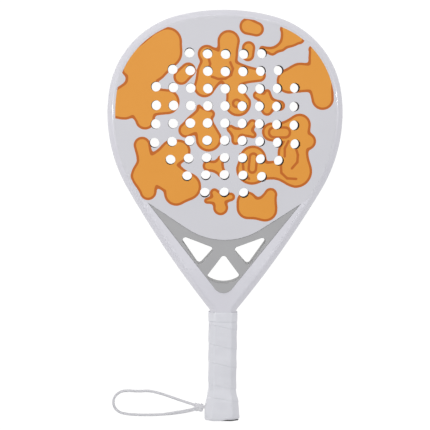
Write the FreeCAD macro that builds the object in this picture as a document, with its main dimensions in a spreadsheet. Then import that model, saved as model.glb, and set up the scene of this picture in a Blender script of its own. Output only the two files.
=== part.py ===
"""Padel racket, as an assembly of its separate pieces, in millimetres.

The racket lies flat on its back face.  +Z is the front face's normal, +Y runs from the
handle to the head, and the origin is under the middle of the racket, on the surface it
lies on.  Heights along the racket are given from the end of the butt, so the drawing
heights in the sheet turn into Y by taking away half of the length.
"""
import FreeCAD, Part

import math
import os

import Sketcher
from FreeCAD import Placement, Rotation, Vector

doc = FreeCAD.newDocument("padel_racket")

# ---------------------------------------------------------------- driving dimensions

SIZES = {
    # the whole racket
    "overall_length": 455.0,
    "overall_width": 260.0,
    "overall_depth": 38.0,
    # outline of the head: four tangent arcs on each side, seen from the front
    "top_radius": 211.3,
    "shoulder_radius": 101.4,
    "side_radius": 165.9,
    "throat_radius": 1115.0,
    "widest_height": 341.0,
    "throat_angle": 30.4,
    # the frame tube
    "rim_width": 10.0,
    "rim_chamfer": 6.0,
    "tube_wall": 2.2,
    "tube_cavity_depth": 24.0,
    "leg_angle": 38.4,
    "leg_corner_radius": 12.0,
    "neck_width": 28.8,
    "neck_depth": 28.9,
    "neck_height": 120.5,
    "neck_fillet": 3.5,
    "taper_height": 166.0,
    "stem_width": 20.0,
    "stem_depth": 19.0,
    "stem_web": 3.0,
    "stem_lap": 10.0,
    "cavity_end_height": 139.0,
    "stem_cavity_depth": 14.0,
    "stem_end_height": 19.5,
    # the hitting face
    "skin_thickness": 1.2,
    "skin_inset": 6.5,
    "face_arc_radius": 74.0,
    "face_line_angle": 33.0,
    "face_bottom_height": 201.4,
    # the holes through the face
    "hole_diameter": 10.8,
    "hole_pitch": 19.0,
    "hole_spread": 0.0053,
    "hole_centre_height": 349.0,
    # the bridge in the throat
    "bridge_recess": 1.0,
    "bridge_wall": 2.0,
    "window_corner_radius": 3.5,
    "side_window_outer_x": 51.6,
    "side_window_outer_height": 207.6,
    "side_window_inner_x": 9.8,
    "side_window_inner_height": 192.0,
    "side_window_lower_x": 27.2,
    "side_window_lower_height": 172.6,
    "centre_window_top_height": 186.0,
    "centre_window_half_width": 19.3,
    "centre_window_side_height": 160.2,
    "centre_window_bottom_height": 153.5,
    # the foam inside the bridge
    "foam_wing_x": 60.0,
    "foam_outer_x": 57.2,
    "foam_outer_height": 212.2,
    "foam_inner_x": 10.8,
    "foam_inner_height": 194.8,
    "foam_waist_x": 8.3,
    "foam_waist_height": 190.7,
    "foam_lower_x": 25.0,
    "foam_lower_height": 172.2,
    "foam_foot_height": 164.0,
    "foam_fork_height": 189.2,
    # the handle under the grip
    "pallet_width": 27.6,
    "pallet_depth": 24.8,
    "pallet_corner": 5.4,
    "pallet_gap": 0.2,
    # the grip
    "grip_top_width": 31.7,
    "grip_top_depth": 28.9,
    "grip_top_run": 12.5,
    "grip_waist_width": 31.0,
    "grip_waist_depth": 28.3,
    "grip_corner": 6.3,
    "grip_waist_height": 47.0,
    "grip_low_waist_height": 34.0,
    "flare_start_height": 27.0,
    "flare_start_swell": 1.8,
    "flare_end_height": 20.5,
    "flare_end_shrink": 2.4,
    "butt_full_height": 7.4,
    "butt_low_height": 3.2,
    "butt_low_shrink": 0.6,
    "butt_end_shrink": 2.2,
    "butt_width": 38.6,
    "butt_depth": 35.4,
    "butt_corner": 7.4,
    "tape_thickness": 0.3,
    "tape_width": 10.5,
    # the butt cap
    "cap_mouth_height": 27.0,
    "cap_waist_height": 19.5,
    "cap_waist_shrink": 2.3,
    "cap_swell_height": 7.4,
    "cap_end_round": 0.8,
    "cap_flange": 1.6,
    "cap_floor": 3.0,
    "cap_mouth_wall": 1.0,
    "cap_body_width": 34.4,
    "cap_body_depth": 31.2,
    "cap_corner": 6.6,
    # the wrist cord
    "cord_diameter": 4.0,
    "cord_hole_diameter": 6.0,
    "cord_hole_height": 13.5,
    "knot_half_length": 6.0,
    "knot_half_width": 4.5,
    "knot_half_depth": 3.8,
    "stop_knot_radius": 4.1,
}

sheet = doc.addObject("Spreadsheet::Sheet", "Sizes")
for row, (alias, number) in enumerate(SIZES.items(), start=1):
    sheet.set("A%d" % row, alias.replace("_", " "))
    sheet.set("B%d" % row, str(number))
    sheet.setAlias("B%d" % row, alias)
doc.recompute()


class Dim:
    """A length worked out from the sheet: its formula for FreeCAD and its value here."""

    def __init__(self, text, value):
        self.text = text
        self.value = value

    def _join(self, other, sign, value):
        return Dim("(%s %s %s)" % (self.text, sign, other.text), value)

    def __add__(self, other):
        other = as_dim(other)
        return self._join(other, "+", self.value + other.value)

    def __sub__(self, other):
        other = as_dim(other)
        return self._join(other, "-", self.value - other.value)

    def __mul__(self, other):
        other = as_dim(other)
        return self._join(other, "*", self.value * other.value)

    def __truediv__(self, other):
        other = as_dim(other)
        return self._join(other, "/", self.value / other.value)

    def __neg__(self):
        return Dim("(0 - %s)" % self.text, -self.value)


def as_dim(number):
    return number if isinstance(number, Dim) else Dim(repr(float(number)), float(number))


def size(alias):
    return Dim("Sizes." + alias, SIZES[alias])


def sine(angle):
    return Dim("sin(%s)" % angle.text, math.sin(math.radians(angle.value)))


def cosine(angle):
    return Dim("cos(%s)" % angle.text, math.cos(math.radians(angle.value)))


def at_height(height):
    """The Y of a height above the end of the butt."""
    return as_dim(height) - size("overall_length") / 2


MID_Z = size("overall_depth") / 2
ZERO = as_dim(0.0)
# How far a cutting tool runs on past what it cuts, and how far one hollow laps into the next.
OVERRUN = as_dim(10.0)
LAP = as_dim(1.0)
# Two measures closer than NEAR are the same one, and upright edges are longer than UPRIGHT.
NEAR = 0.1
UPRIGHT = 10.0
# A cut that takes away less than this, in cubic millimetres, has missed.
LEAST_CUT = 1.0


# ---------------------------------------------------------------- drawing helpers

def new_body(name):
    body = doc.addObject("PartDesign::Body", name)
    body.Label = name
    return body


def new_sketch(body, name, role="XY_Plane", offset=ZERO):
    """A sketch on one of the body's own origin planes, moved along the plane's normal."""
    sketch = body.newObject("Sketcher::SketchObject", name)
    plane = [item for item in body.Origin.OriginFeatures if item.Role == role][0]
    sketch.AttachmentSupport = (plane, [""])
    sketch.MapMode = "FlatFace"
    sketch.AttachmentOffset = Placement(Vector(0, 0, offset.value), Rotation())
    sketch.setExpression(".AttachmentOffset.Base.z", offset.text)
    return sketch


def bind(sketch, kind, *where, to):
    """Add a dimension to a sketch and tie it to the sheet."""
    index = sketch.addConstraint(Sketcher.Constraint(kind, *where, to.value))
    sketch.setExpression("Constraints[%d]" % index, to.text)


def bind_point(sketch, geometry, point, x=None, y=None):
    """Tie a point's distance from the sketch origin to the sheet, one axis or both."""
    if x is not None:
        bind(sketch, "DistanceX", -1, 1, geometry, point, to=x)
    if y is not None:
        bind(sketch, "DistanceY", -1, 1, geometry, point, to=y)


def flat(x, y):
    return Vector(x, y, 0)


def draw_line(sketch, start, end):
    return sketch.addGeometry(Part.LineSegment(flat(*start), flat(*end)), False)


def draw_arc(sketch, centre, radius, start_angle, end_angle):
    """An anticlockwise arc, with its angles in degrees."""
    circle = Part.Circle(flat(*centre), Vector(0, 0, 1), radius)
    arc = Part.ArcOfCircle(circle, math.radians(start_angle), math.radians(end_angle))
    return sketch.addGeometry(arc, False)


def on_arc(centre, radius, angle):
    turn = math.radians(angle)
    return (centre[0] + radius * math.cos(turn), centre[1] + radius * math.sin(turn))


def join(sketch, first, first_point, second, second_point, smooth=True):
    kind = "Tangent" if smooth else "Coincident"
    sketch.addConstraint(Sketcher.Constraint(kind, first, first_point, second, second_point))


def draw_polygon(sketch, corners):
    """A closed polygon whose corners are pairs of dimensions."""
    count = len(corners)
    lines = []
    for index in range(count):
        here = corners[index]
        after = corners[(index + 1) % count]
        lines.append(draw_line(sketch, (here[0].value, here[1].value), (after[0].value, after[1].value)))
    for index in range(count):
        join(sketch, lines[index], 2, lines[(index + 1) % count], 1, smooth=False)
        bind_point(sketch, lines[index], 1, *corners[index])
    return lines


def pad(body, sketch, length, name):
    feature = body.newObject("PartDesign::Pad", name)
    feature.Profile = sketch
    feature.Length = length.value
    feature.setExpression("Length", length.text)
    doc.recompute()
    return feature


def pocket(body, sketch, name, length=None):
    """Cut both ways from the sketch's plane, right through or to a whole depth of length."""
    before = body.Shape.Volume
    feature = body.newObject("PartDesign::Pocket", name)
    feature.Profile = sketch
    feature.Midplane = True
    if length is None:
        feature.Type = "ThroughAll"
    else:
        feature.Length = length.value
        feature.setExpression("Length", length.text)
    doc.recompute()
    if feature.Shape.Volume > before - LEAST_CUT:
        raise RuntimeError(name + " cuts nothing")
    return feature


def dress(body, kind, edges, amount, name):
    """A Fillet or a Chamfer on the named edges of the body's last feature."""
    feature = body.newObject("PartDesign::" + kind, name)
    feature.Base = (feature.BaseFeature, edges)
    prop = "Radius" if kind == "Fillet" else "Size"
    setattr(feature, prop, amount.value)
    feature.setExpression(prop, amount.text)
    doc.recompute()
    return feature


def edges_where(shape, test):
    return ["Edge%d" % (number + 1) for number, edge in enumerate(shape.Edges) if test(edge)]


# ---------------------------------------------------------------- outlines of the head

HALF_WIDTH = size("overall_width") / 2
TOP_CENTRE_Y = at_height(size("overall_length")) - size("top_radius")
SIDE_CENTRE_X = HALF_WIDTH - size("side_radius")
SIDE_CENTRE_Y = at_height(size("widest_height"))


def shoulder_centre():
    """The centre of the right shoulder arc, which touches the top and side arcs inside."""
    reach_top = SIZES["top_radius"] - SIZES["shoulder_radius"]
    reach_side = SIZES["side_radius"] - SIZES["shoulder_radius"]
    top = Vector(0, TOP_CENTRE_Y.value, 0)
    side = Vector(SIDE_CENTRE_X.value, SIDE_CENTRE_Y.value, 0)
    gap = side.distanceToPoint(top)
    along = (side - top) / gap
    run = (reach_top ** 2 - reach_side ** 2 + gap ** 2) / (2 * gap)
    rise = math.sqrt(reach_top ** 2 - run ** 2)
    return top + along * run + Vector(along.y, -along.x, 0) * rise


def draw_crown(sketch, inset, side_end_angle):
    """The five arcs over the head, drawn parallel to the outline at a given inset.

    The two side arcs end at side_end_angle below the widest line.  Gives back the right and
    the left side arc, whose points 1 and 2 are their lower ends.
    """
    top_radius = size("top_radius") - inset
    shoulder_radius = size("shoulder_radius") - inset
    side_radius = size("side_radius") - inset
    shoulder = shoulder_centre()
    top_turn = math.degrees(math.atan2(shoulder.y - TOP_CENTRE_Y.value, shoulder.x))
    side_turn = math.degrees(math.atan2(shoulder.y - SIDE_CENTRE_Y.value, shoulder.x - SIDE_CENTRE_X.value))
    low = side_end_angle.value
    top = draw_arc(sketch, (0, TOP_CENTRE_Y.value), top_radius.value, top_turn, 180 - top_turn)
    right_shoulder = draw_arc(sketch, (shoulder.x, shoulder.y), shoulder_radius.value, side_turn, top_turn)
    left_shoulder = draw_arc(
        sketch, (-shoulder.x, shoulder.y), shoulder_radius.value, 180 - top_turn, 180 - side_turn)
    centre = (SIDE_CENTRE_X.value, SIDE_CENTRE_Y.value)
    right_side = draw_arc(sketch, centre, side_radius.value, -low, side_turn)
    left_side = draw_arc(sketch, (-centre[0], centre[1]), side_radius.value, 180 - side_turn, 180 + low)
    join(sketch, top, 1, right_shoulder, 2)
    join(sketch, top, 2, left_shoulder, 1)
    join(sketch, right_shoulder, 1, right_side, 2)
    join(sketch, left_shoulder, 2, left_side, 1)
    bind(sketch, "Radius", top, to=top_radius)
    bind(sketch, "Radius", right_shoulder, to=shoulder_radius)
    bind(sketch, "Radius", left_shoulder, to=shoulder_radius)
    bind(sketch, "Radius", right_side, to=side_radius)
    bind(sketch, "Radius", left_side, to=side_radius)
    bind_point(sketch, top, 3, ZERO, TOP_CENTRE_Y)
    bind_point(sketch, right_side, 3, SIDE_CENTRE_X, SIDE_CENTRE_Y)
    bind_point(sketch, left_side, 3, -SIDE_CENTRE_X, SIDE_CENTRE_Y)
    side_end_y = SIDE_CENTRE_Y - side_radius * sine(side_end_angle)
    bind_point(sketch, right_side, 1, y=side_end_y)
    bind_point(sketch, left_side, 2, y=side_end_y)
    return right_side, left_side


def draw_throat_outline(sketch, inset, end_y=None):
    """The racket's outline at an inset: over the head and down the throat's long arcs.

    It ends at the neck's width and runs on down to the neck's end, or, with end_y, it is
    closed straight across there.
    """
    angle = size("throat_angle")
    right_side, left_side = draw_crown(sketch, inset, angle)
    radius = size("throat_radius") - inset
    step = size("throat_radius").value - size("side_radius").value
    turn = math.radians(angle.value)
    centre_x = SIDE_CENTRE_X.value - step * math.cos(turn)
    centre_y = SIDE_CENTRE_Y.value + step * math.sin(turn)
    if end_y is None:
        low = math.degrees(math.acos((size("neck_width").value / 2 - centre_x) / radius.value))
    else:
        low = math.degrees(math.asin((centre_y - end_y.value) / radius.value))
    right = draw_arc(sketch, (centre_x, centre_y), radius.value, -low, -angle.value)
    left = draw_arc(sketch, (-centre_x, centre_y), radius.value, 180 + angle.value, 180 + low)
    join(sketch, right, 2, right_side, 1)
    join(sketch, left, 1, left_side, 2)
    bind(sketch, "Radius", right, to=radius)
    bind(sketch, "Radius", left, to=radius)
    right_end = on_arc((centre_x, centre_y), radius.value, -low)
    left_end = (-right_end[0], right_end[1])
    if end_y is None:
        neck_x = size("neck_width") / 2
        neck_y = at_height(size("neck_height"))
        right_corner = (neck_x.value, neck_y.value)
        left_corner = (-neck_x.value, neck_y.value)
        right_neck = draw_line(sketch, right_corner, right_end)
        left_neck = draw_line(sketch, left_end, left_corner)
        bottom = draw_line(sketch, left_corner, right_corner)
        join(sketch, right_neck, 2, right, 1, smooth=False)
        join(sketch, left_neck, 1, left, 2, smooth=False)
        join(sketch, bottom, 2, right_neck, 1, smooth=False)
        join(sketch, bottom, 1, left_neck, 2, smooth=False)
        bind_point(sketch, right, 1, x=neck_x)
        bind_point(sketch, left, 2, x=-neck_x)
        bind_point(sketch, bottom, 2, neck_x, neck_y)
        bind_point(sketch, bottom, 1, -neck_x, neck_y)
        return
    bottom = draw_line(sketch, left_end, right_end)
    join(sketch, bottom, 2, right, 1, smooth=False)
    join(sketch, bottom, 1, left, 2, smooth=False)
    bind_point(sketch, right, 1, y=end_y)
    bind_point(sketch, left, 2, y=end_y)


def draw_opening_outline(sketch, inset, corner_radius):
    """The opening inside the frame tube: over the head, then two straight legs and a round."""
    angle = size("leg_angle")
    right_side, left_side = draw_crown(sketch, inset, angle)
    radius = size("side_radius").value - inset.value
    start = on_arc((SIDE_CENTRE_X.value, SIDE_CENTRE_Y.value), radius, -angle.value)
    tangent = math.tan(math.radians(angle.value))
    apex_y = start[1] - start[0] / tangent
    corner_y = apex_y + corner_radius.value / math.sin(math.radians(angle.value))
    centre = (0.0, corner_y)
    end = on_arc(centre, corner_radius.value, -angle.value)
    right_leg = draw_line(sketch, end, start)
    left_leg = draw_line(sketch, (-start[0], start[1]), (-end[0], end[1]))
    bottom = draw_arc(sketch, centre, corner_radius.value, 180 + angle.value, 360 - angle.value)
    join(sketch, right_leg, 2, right_side, 1)
    join(sketch, left_leg, 1, left_side, 2)
    join(sketch, bottom, 2, right_leg, 1)
    join(sketch, bottom, 1, left_leg, 2)
    bind(sketch, "Radius", bottom, to=corner_radius)


def draw_face_limit(sketch, far_y):
    """The lower limit of the hitting face, closed far beyond the head on the side of far_y."""
    radius = size("face_arc_radius")
    angle = size("face_line_angle")
    centre_y = at_height(size("face_bottom_height")) + radius
    start_x = radius * sine(angle)
    far_x = HALF_WIDTH + OVERRUN
    slope = math.tan(math.radians(angle.value))
    inner_y = centre_y.value - radius.value * math.cos(math.radians(angle.value))
    outer_y = inner_y + (far_x.value - start_x.value) * slope
    arc = draw_arc(sketch, (0, centre_y.value), radius.value, 270 - angle.value, 270 + angle.value)
    right = draw_line(sketch, (start_x.value, inner_y), (far_x.value, outer_y))
    left = draw_line(sketch, (-far_x.value, outer_y), (-start_x.value, inner_y))
    right_far = draw_line(sketch, (far_x.value, outer_y), (far_x.value, far_y.value))
    across = draw_line(sketch, (far_x.value, far_y.value), (-far_x.value, far_y.value))
    left_far = draw_line(sketch, (-far_x.value, far_y.value), (-far_x.value, outer_y))
    join(sketch, right, 1, arc, 2)
    join(sketch, left, 2, arc, 1)
    join(sketch, right, 2, right_far, 1, smooth=False)
    join(sketch, right_far, 2, across, 1, smooth=False)
    join(sketch, across, 2, left_far, 1, smooth=False)
    join(sketch, left_far, 2, left, 1, smooth=False)
    bind(sketch, "Radius", arc, to=radius)
    bind_point(sketch, arc, 3, ZERO, centre_y)
    bind_point(sketch, arc, 1, x=-start_x)
    bind_point(sketch, arc, 2, x=start_x)
    bind_point(sketch, across, 1, far_x, far_y)
    bind_point(sketch, across, 2, -far_x, far_y)
    bind_point(sketch, right, 2, x=far_x)
    bind_point(sketch, left, 1, x=-far_x)


BELOW_FACE_Y = at_height(size("neck_height")) - OVERRUN
ABOVE_HEAD_Y = at_height(size("overall_length")) + OVERRUN


# ---------------------------------------------------------------- the hitting face

def make_face_layer(name, low_z, thickness, wide):
    """A plate in the shape of the hitting face, before its holes are drilled.

    The skins are wide: they reach out over the frame tube.  The core stops inside it.
    """
    body = new_body(name)
    outline = new_sketch(body, name + "_outline", offset=low_z)
    if wide:
        draw_throat_outline(outline, size("skin_inset"), at_height(size("taper_height")))
    else:
        draw_opening_outline(outline, size("rim_width"), size("leg_corner_radius"))
    pad(body, outline, thickness, name + "_plate")
    limit = new_sketch(body, name + "_limit", offset=low_z)
    draw_face_limit(limit, BELOW_FACE_Y)
    pocket(body, limit, name + "_throat_cut")
    return body


HOLES_PER_ROW = (5, 7, 9, 9, 9, 9, 7, 5, 3)
MIDDLE_ROW = 3


def make_drills():
    """One cylinder for each hole: a square grid that spreads a little away from its middle."""
    drills = []
    for row, count in enumerate(HOLES_PER_ROW):
        down = row - MIDDLE_ROW
        for place in range(count):
            across = place - (count - 1) / 2
            drill = doc.addObject("Part::Cylinder", "drill_%d_%d" % (row + 1, place + 1))
            drill.Height = SIZES["overall_depth"] + 2 * OVERRUN.value
            drill.setExpression("Radius", "Sizes.hole_diameter / 2")
            drill.setExpression(
                "Placement.Base.x",
                "Sizes.hole_pitch * %g * (1 + Sizes.hole_spread * %g)" % (across, down ** 2))
            drill.setExpression(
                "Placement.Base.y",
                "Sizes.hole_centre_height - Sizes.overall_length / 2"
                " - Sizes.hole_pitch * %g * (1 + Sizes.hole_spread * %g)" % (down, across ** 2))
            drill.Placement.Base.z = -OVERRUN.value
            drills.append(drill)
    bundle = doc.addObject("Part::Compound", "aeration_drills")
    bundle.Links = drills
    return bundle


def make_cut(name, base, tool):
    cut = doc.addObject("Part::Cut", name)
    cut.Label = name
    cut.Base = base
    cut.Tool = tool
    return cut


skin = size("skin_thickness")
front_plate = make_face_layer("front_skin_plate", size("overall_depth") - skin, skin, wide=True)
back_plate = make_face_layer("back_skin_plate", ZERO, skin, wide=True)
core_block = make_face_layer("core_block", skin, size("overall_depth") - skin * 2, wide=False)
drills = make_drills()
doc.recompute()
front_skin = make_cut("front_skin", front_plate, drills)
back_skin = make_cut("back_skin", back_plate, drills)
core = make_cut("core", core_block, drills)


# ---------------------------------------------------------------- the frame tube

def make_frame_tube():
    """The moulded tube round the head, its two legs, and the stem that they make in the handle."""
    depth = size("overall_depth")
    body = new_body("frame_blank")
    outline = new_sketch(body, "frame_outline")
    draw_throat_outline(outline, ZERO)
    pad(body, outline, depth, "frame_block")

    dress(body, "Fillet", edges_where(body.Shape, is_neck_corner), size("neck_fillet"), "neck_round")

    side = new_sketch(body, "neck_taper", role="YZ_Plane")
    start_y = at_height(size("taper_height"))
    neck_y = at_height(size("neck_height"))
    end_y = neck_y - OVERRUN
    fall = (depth - size("neck_depth")) / 2 * (start_y - end_y) / (start_y - neck_y)
    above = depth + OVERRUN
    below = -OVERRUN
    draw_polygon(side, [(start_y, depth), (end_y, depth - fall), (end_y, above), (start_y, above)])
    draw_polygon(side, [(start_y, ZERO), (start_y, below), (end_y, below), (end_y, fall)])
    pocket(body, side, "neck_taper_cut")

    rim = edges_where(body.Shape, is_rim_edge)
    dress(body, "Chamfer", rim, size("rim_chamfer"), "rim_bevel")

    opening = new_sketch(body, "head_opening")
    draw_opening_outline(opening, size("rim_width"), size("leg_corner_radius"))
    pocket(body, opening, "head_opening_cut")

    stem = new_sketch(body, "stem", offset=MID_Z - size("stem_depth") / 2)
    half = size("stem_width") / 2
    top_y = neck_y + size("stem_lap")
    low_y = at_height(size("stem_end_height"))
    draw_polygon(stem, [(-half, low_y), (half, low_y), (half, top_y), (-half, top_y)])
    pad(body, stem, size("stem_depth"), "stem_pad")

    wall = size("tube_wall")
    cavity = new_sketch(body, "tube_cavity", offset=MID_Z)
    cavity_low_y = at_height(size("cavity_end_height"))
    draw_throat_outline(cavity, wall, cavity_low_y)
    draw_opening_outline(cavity, size("rim_width") - wall, size("leg_corner_radius") + wall)
    pocket(body, cavity, "tube_cavity_cut", size("tube_cavity_depth"))

    channels = new_sketch(body, "stem_channels", offset=MID_Z)
    outer = half - wall
    inner = size("stem_web") / 2
    for sign in (1, -1):
        draw_polygon(channels, [
            (inner * sign, low_y - OVERRUN),
            (outer * sign, low_y - OVERRUN),
            (outer * sign, cavity_low_y + LAP),
            (inner * sign, cavity_low_y + LAP)])
    pocket(body, channels, "stem_channel_cut", size("stem_cavity_depth"))
    return body


def is_neck_corner(edge):
    """An upright edge where the throat meets the short straight sides of the neck."""
    box = edge.BoundBox
    upright = box.ZLength > UPRIGHT and box.XLength < NEAR and box.YLength < NEAR
    on_neck = abs(abs(box.XMin) - SIZES["neck_width"] / 2) < NEAR
    above_end = box.YMin > at_height(size("neck_height")).value + NEAR
    return upright and on_neck and above_end


def is_rim_edge(edge):
    """An edge of the front or the back face that runs round the outside of the racket."""
    box = edge.BoundBox
    middle = MID_Z.value
    half_neck = SIZES["neck_depth"] / 2
    far_from_middle = min(abs(box.ZMin - middle), abs(box.ZMax - middle)) > half_neck - NEAR
    level = box.ZLength < half_neck
    crosses = box.XMin < 0 < box.XMax and box.YLength < NEAR
    over_head = box.YMax > SIDE_CENTRE_Y.value
    above_end = box.YMax > at_height(size("neck_height")).value + NEAR
    return far_from_middle and level and above_end and (over_head or not crosses)


frame_blank = make_frame_tube()
skin_plates = doc.addObject("Part::Compound", "skin_plates")
skin_plates.Links = [front_plate, back_plate]
frame_tube = make_cut("frame_tube", frame_blank, skin_plates)


# ---------------------------------------------------------------- the throat bridge

def make_bridge_block():
    """The bridge between the legs: what the opening leaves below the face, with three windows."""
    recess = size("bridge_recess")
    body = new_body("bridge_block")
    outline = new_sketch(body, "bridge_outline", offset=recess)
    draw_opening_outline(outline, size("rim_width"), size("leg_corner_radius"))
    pad(body, outline, size("overall_depth") - recess * 2, "bridge_plate")
    limit = new_sketch(body, "bridge_limit", offset=recess)
    draw_face_limit(limit, ABOVE_HEAD_Y)
    pocket(body, limit, "bridge_face_cut")
    windows = new_sketch(body, "bridge_windows", offset=recess)
    draw_windows(windows)
    pocket(body, windows, "bridge_window_cut")
    corners = edges_where(body.Shape, is_window_corner)
    dress(body, "Fillet", corners, size("window_corner_radius"), "window_rounds")
    return body


def window_corners():
    """The sharp corners of the right window, before they are rounded."""
    return [
        (size("side_window_outer_x"), at_height(size("side_window_outer_height"))),
        (size("side_window_inner_x"), at_height(size("side_window_inner_height"))),
        (size("side_window_lower_x"), at_height(size("side_window_lower_height")))]


def draw_windows(sketch):
    right = window_corners()
    draw_polygon(sketch, right)
    draw_polygon(sketch, [(-x, y) for x, y in right])
    half = size("centre_window_half_width")
    side_y = at_height(size("centre_window_side_height"))
    top_y = at_height(size("centre_window_top_height"))
    bottom_y = at_height(size("centre_window_bottom_height"))
    sag = side_y - bottom_y
    radius = (half * half + sag * sag) / (sag * 2)
    turn = math.degrees(math.asin(half.value / radius.value))
    right_side = draw_line(sketch, (half.value, side_y.value), (0, top_y.value))
    left_side = draw_line(sketch, (0, top_y.value), (-half.value, side_y.value))
    centre = (0, bottom_y.value + radius.value)
    bottom = draw_arc(sketch, centre, radius.value, 270 - turn, 270 + turn)
    join(sketch, right_side, 2, left_side, 1, smooth=False)
    join(sketch, left_side, 2, bottom, 1, smooth=False)
    join(sketch, bottom, 2, right_side, 1, smooth=False)
    bind_point(sketch, right_side, 2, ZERO, top_y)
    bind_point(sketch, bottom, 1, -half, side_y)
    bind_point(sketch, bottom, 2, half, side_y)
    bind(sketch, "Radius", bottom, to=radius)


def is_window_corner(edge):
    """An upright edge at a sharp corner of one of the three windows."""
    box = edge.BoundBox
    if box.ZLength < UPRIGHT or box.XLength > NEAR or box.YLength > NEAR:
        return False
    corners = [(x.value, y.value) for x, y in window_corners()]
    corners.append((0.0, at_height(size("centre_window_top_height")).value))
    corners.append((SIZES["centre_window_half_width"], at_height(size("centre_window_side_height")).value))
    return any(abs(abs(box.XMin) - x) < 2 * NEAR and abs(box.YMin - y) < 2 * NEAR for x, y in corners)


bridge_block = make_bridge_block()


def make_bridge_foam():
    """The foam that the bridge's laminate is wrapped round: a yoke under the face, two struts."""
    wall = size("bridge_wall")
    radius = size("face_arc_radius") + wall
    angle = size("face_line_angle")
    yoke_x = radius * sine(angle) / (cosine(angle) + 1.0)
    yoke_y = at_height(size("face_bottom_height")) - wall
    wing_x = size("foam_wing_x")
    wing_y = yoke_y + (wing_x - yoke_x) * sine(angle) / cosine(angle)
    half = [
        (yoke_x, yoke_y),
        (wing_x, wing_y),
        (size("foam_outer_x"), at_height(size("foam_outer_height"))),
        (size("foam_inner_x"), at_height(size("foam_inner_height"))),
        (size("foam_waist_x"), at_height(size("foam_waist_height"))),
        (size("foam_lower_x"), at_height(size("foam_lower_height"))),
        (size("centre_window_half_width"), at_height(size("foam_foot_height"))),
        (ZERO, at_height(size("foam_fork_height")))]
    other_half = [(-x, y) for x, y in reversed(half[:-1])]
    body = new_body("bridge_foam")
    low_z = size("bridge_recess") + wall
    plan = new_sketch(body, "foam_plan", offset=low_z)
    draw_polygon(plan, half + other_half)
    pad(body, plan, size("overall_depth") - low_z * 2, "foam_pad")
    return body


bridge_foam = make_bridge_foam()
throat_bridge = make_cut("throat_bridge", bridge_block, bridge_foam)


# ---------------------------------------------------------------- the handle

def octagon(body, name, height, width, depth, corner, middle=MID_Z):
    """A flattened octagon across the handle at a height above the end of the butt."""
    sketch = new_sketch(body, name, role="XZ_Plane", offset=-at_height(height))
    across = width / 2
    up = depth / 2
    corners = [
        (across, -(up - corner)), (across, up - corner),
        (across - corner, up), (-(across - corner), up),
        (-across, up - corner), (-across, -(up - corner)),
        (-(across - corner), -up), (across - corner, -up)]
    draw_polygon(sketch, [(x, middle + z) for x, z in corners])
    return sketch


def loft(body, kind, sections, name):
    """A loft with flat sides through a list of sections."""
    before = body.Shape.Volume if body.Tip else 0.0
    feature = body.newObject("PartDesign::" + kind + "Loft", name)
    feature.Profile = sections[0]
    feature.Sections = sections[1:]
    feature.Ruled = True
    doc.recompute()
    if kind == "Subtractive" and feature.Shape.Volume > before - LEAST_CUT:
        raise RuntimeError(name + " cuts nothing")
    return feature


def pad_along_handle(body, sketch, length, name):
    """A pad from a section across the handle, towards the head."""
    feature = pad(body, sketch, length, name)
    feature.Reversed = True
    doc.recompute()
    return feature


def make_pallet(name, front):
    """One of the two foam half shells that give the handle its octagon round the frame's stem."""
    body = new_body(name)
    low = size("stem_end_height")
    length = size("neck_height") - low
    section = octagon(
        body, name + "_octagon", low, size("pallet_width"), size("pallet_depth"), size("pallet_corner"))
    pad_along_handle(body, section, length, name + "_pad")
    across = size("pallet_width")
    stem_x = size("stem_width") / 2
    stem_up = size("stem_depth") / 2
    low_cut = MID_Z - stem_up
    high_cut = MID_Z + stem_up
    split = MID_Z + (size("pallet_gap") / 2 if front else -size("pallet_gap") / 2)
    beyond = -OVERRUN if front else size("overall_depth") + OVERRUN
    channel = new_sketch(body, name + "_channel", role="XZ_Plane")
    draw_polygon(channel, [(-stem_x, low_cut), (stem_x, low_cut), (stem_x, high_cut), (-stem_x, high_cut)])
    pocket(body, channel, name + "_channel_cut")
    other_half = new_sketch(body, name + "_split", role="XZ_Plane")
    draw_polygon(other_half, [(-across, beyond), (across, beyond), (across, split), (-across, split)])
    pocket(body, other_half, name + "_split_cut")
    return body


pallet_front = make_pallet("handle_pallet_front", front=True)
pallet_back = make_pallet("handle_pallet_back", front=False)


def cap_sections(body, name):
    """The outside of the butt cap's skirt, which is also the inside of the grip round it."""
    mouth = size("cap_mouth_height")
    wall = size("cap_mouth_wall")
    width = size("cap_body_width")
    depth = size("cap_body_depth")
    corner = size("cap_corner")
    shrink = size("cap_waist_shrink")
    return [
        octagon(body, name + "_mouth", mouth, size("pallet_width") + wall * 2,
                size("pallet_depth") + wall * 2, size("pallet_corner") + wall / 2),
        octagon(body, name + "_waist", size("cap_waist_height"), width - shrink, depth - shrink, corner),
        octagon(body, name + "_swell", size("cap_swell_height"), width, depth, corner),
        octagon(body, name + "_foot", size("cap_flange"), width, depth, corner)]


def cut_cord_hole(body, name):
    """The round hole in the left wall, level with the middle of the handle's depth."""
    sketch = new_sketch(body, name, role="YZ_Plane", offset=-size("cap_body_width") / 2)
    y = at_height(size("cord_hole_height"))
    hole = sketch.addGeometry(
        Part.Circle(flat(y.value, MID_Z.value), Vector(0, 0, 1), SIZES["cord_hole_diameter"] / 2), False)
    bind_point(sketch, hole, 3, y, MID_Z)
    bind(sketch, "Diameter", hole, to=size("cord_hole_diameter"))
    return pocket(body, sketch, name + "_cut", size("butt_width") - size("pallet_width"))


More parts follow.
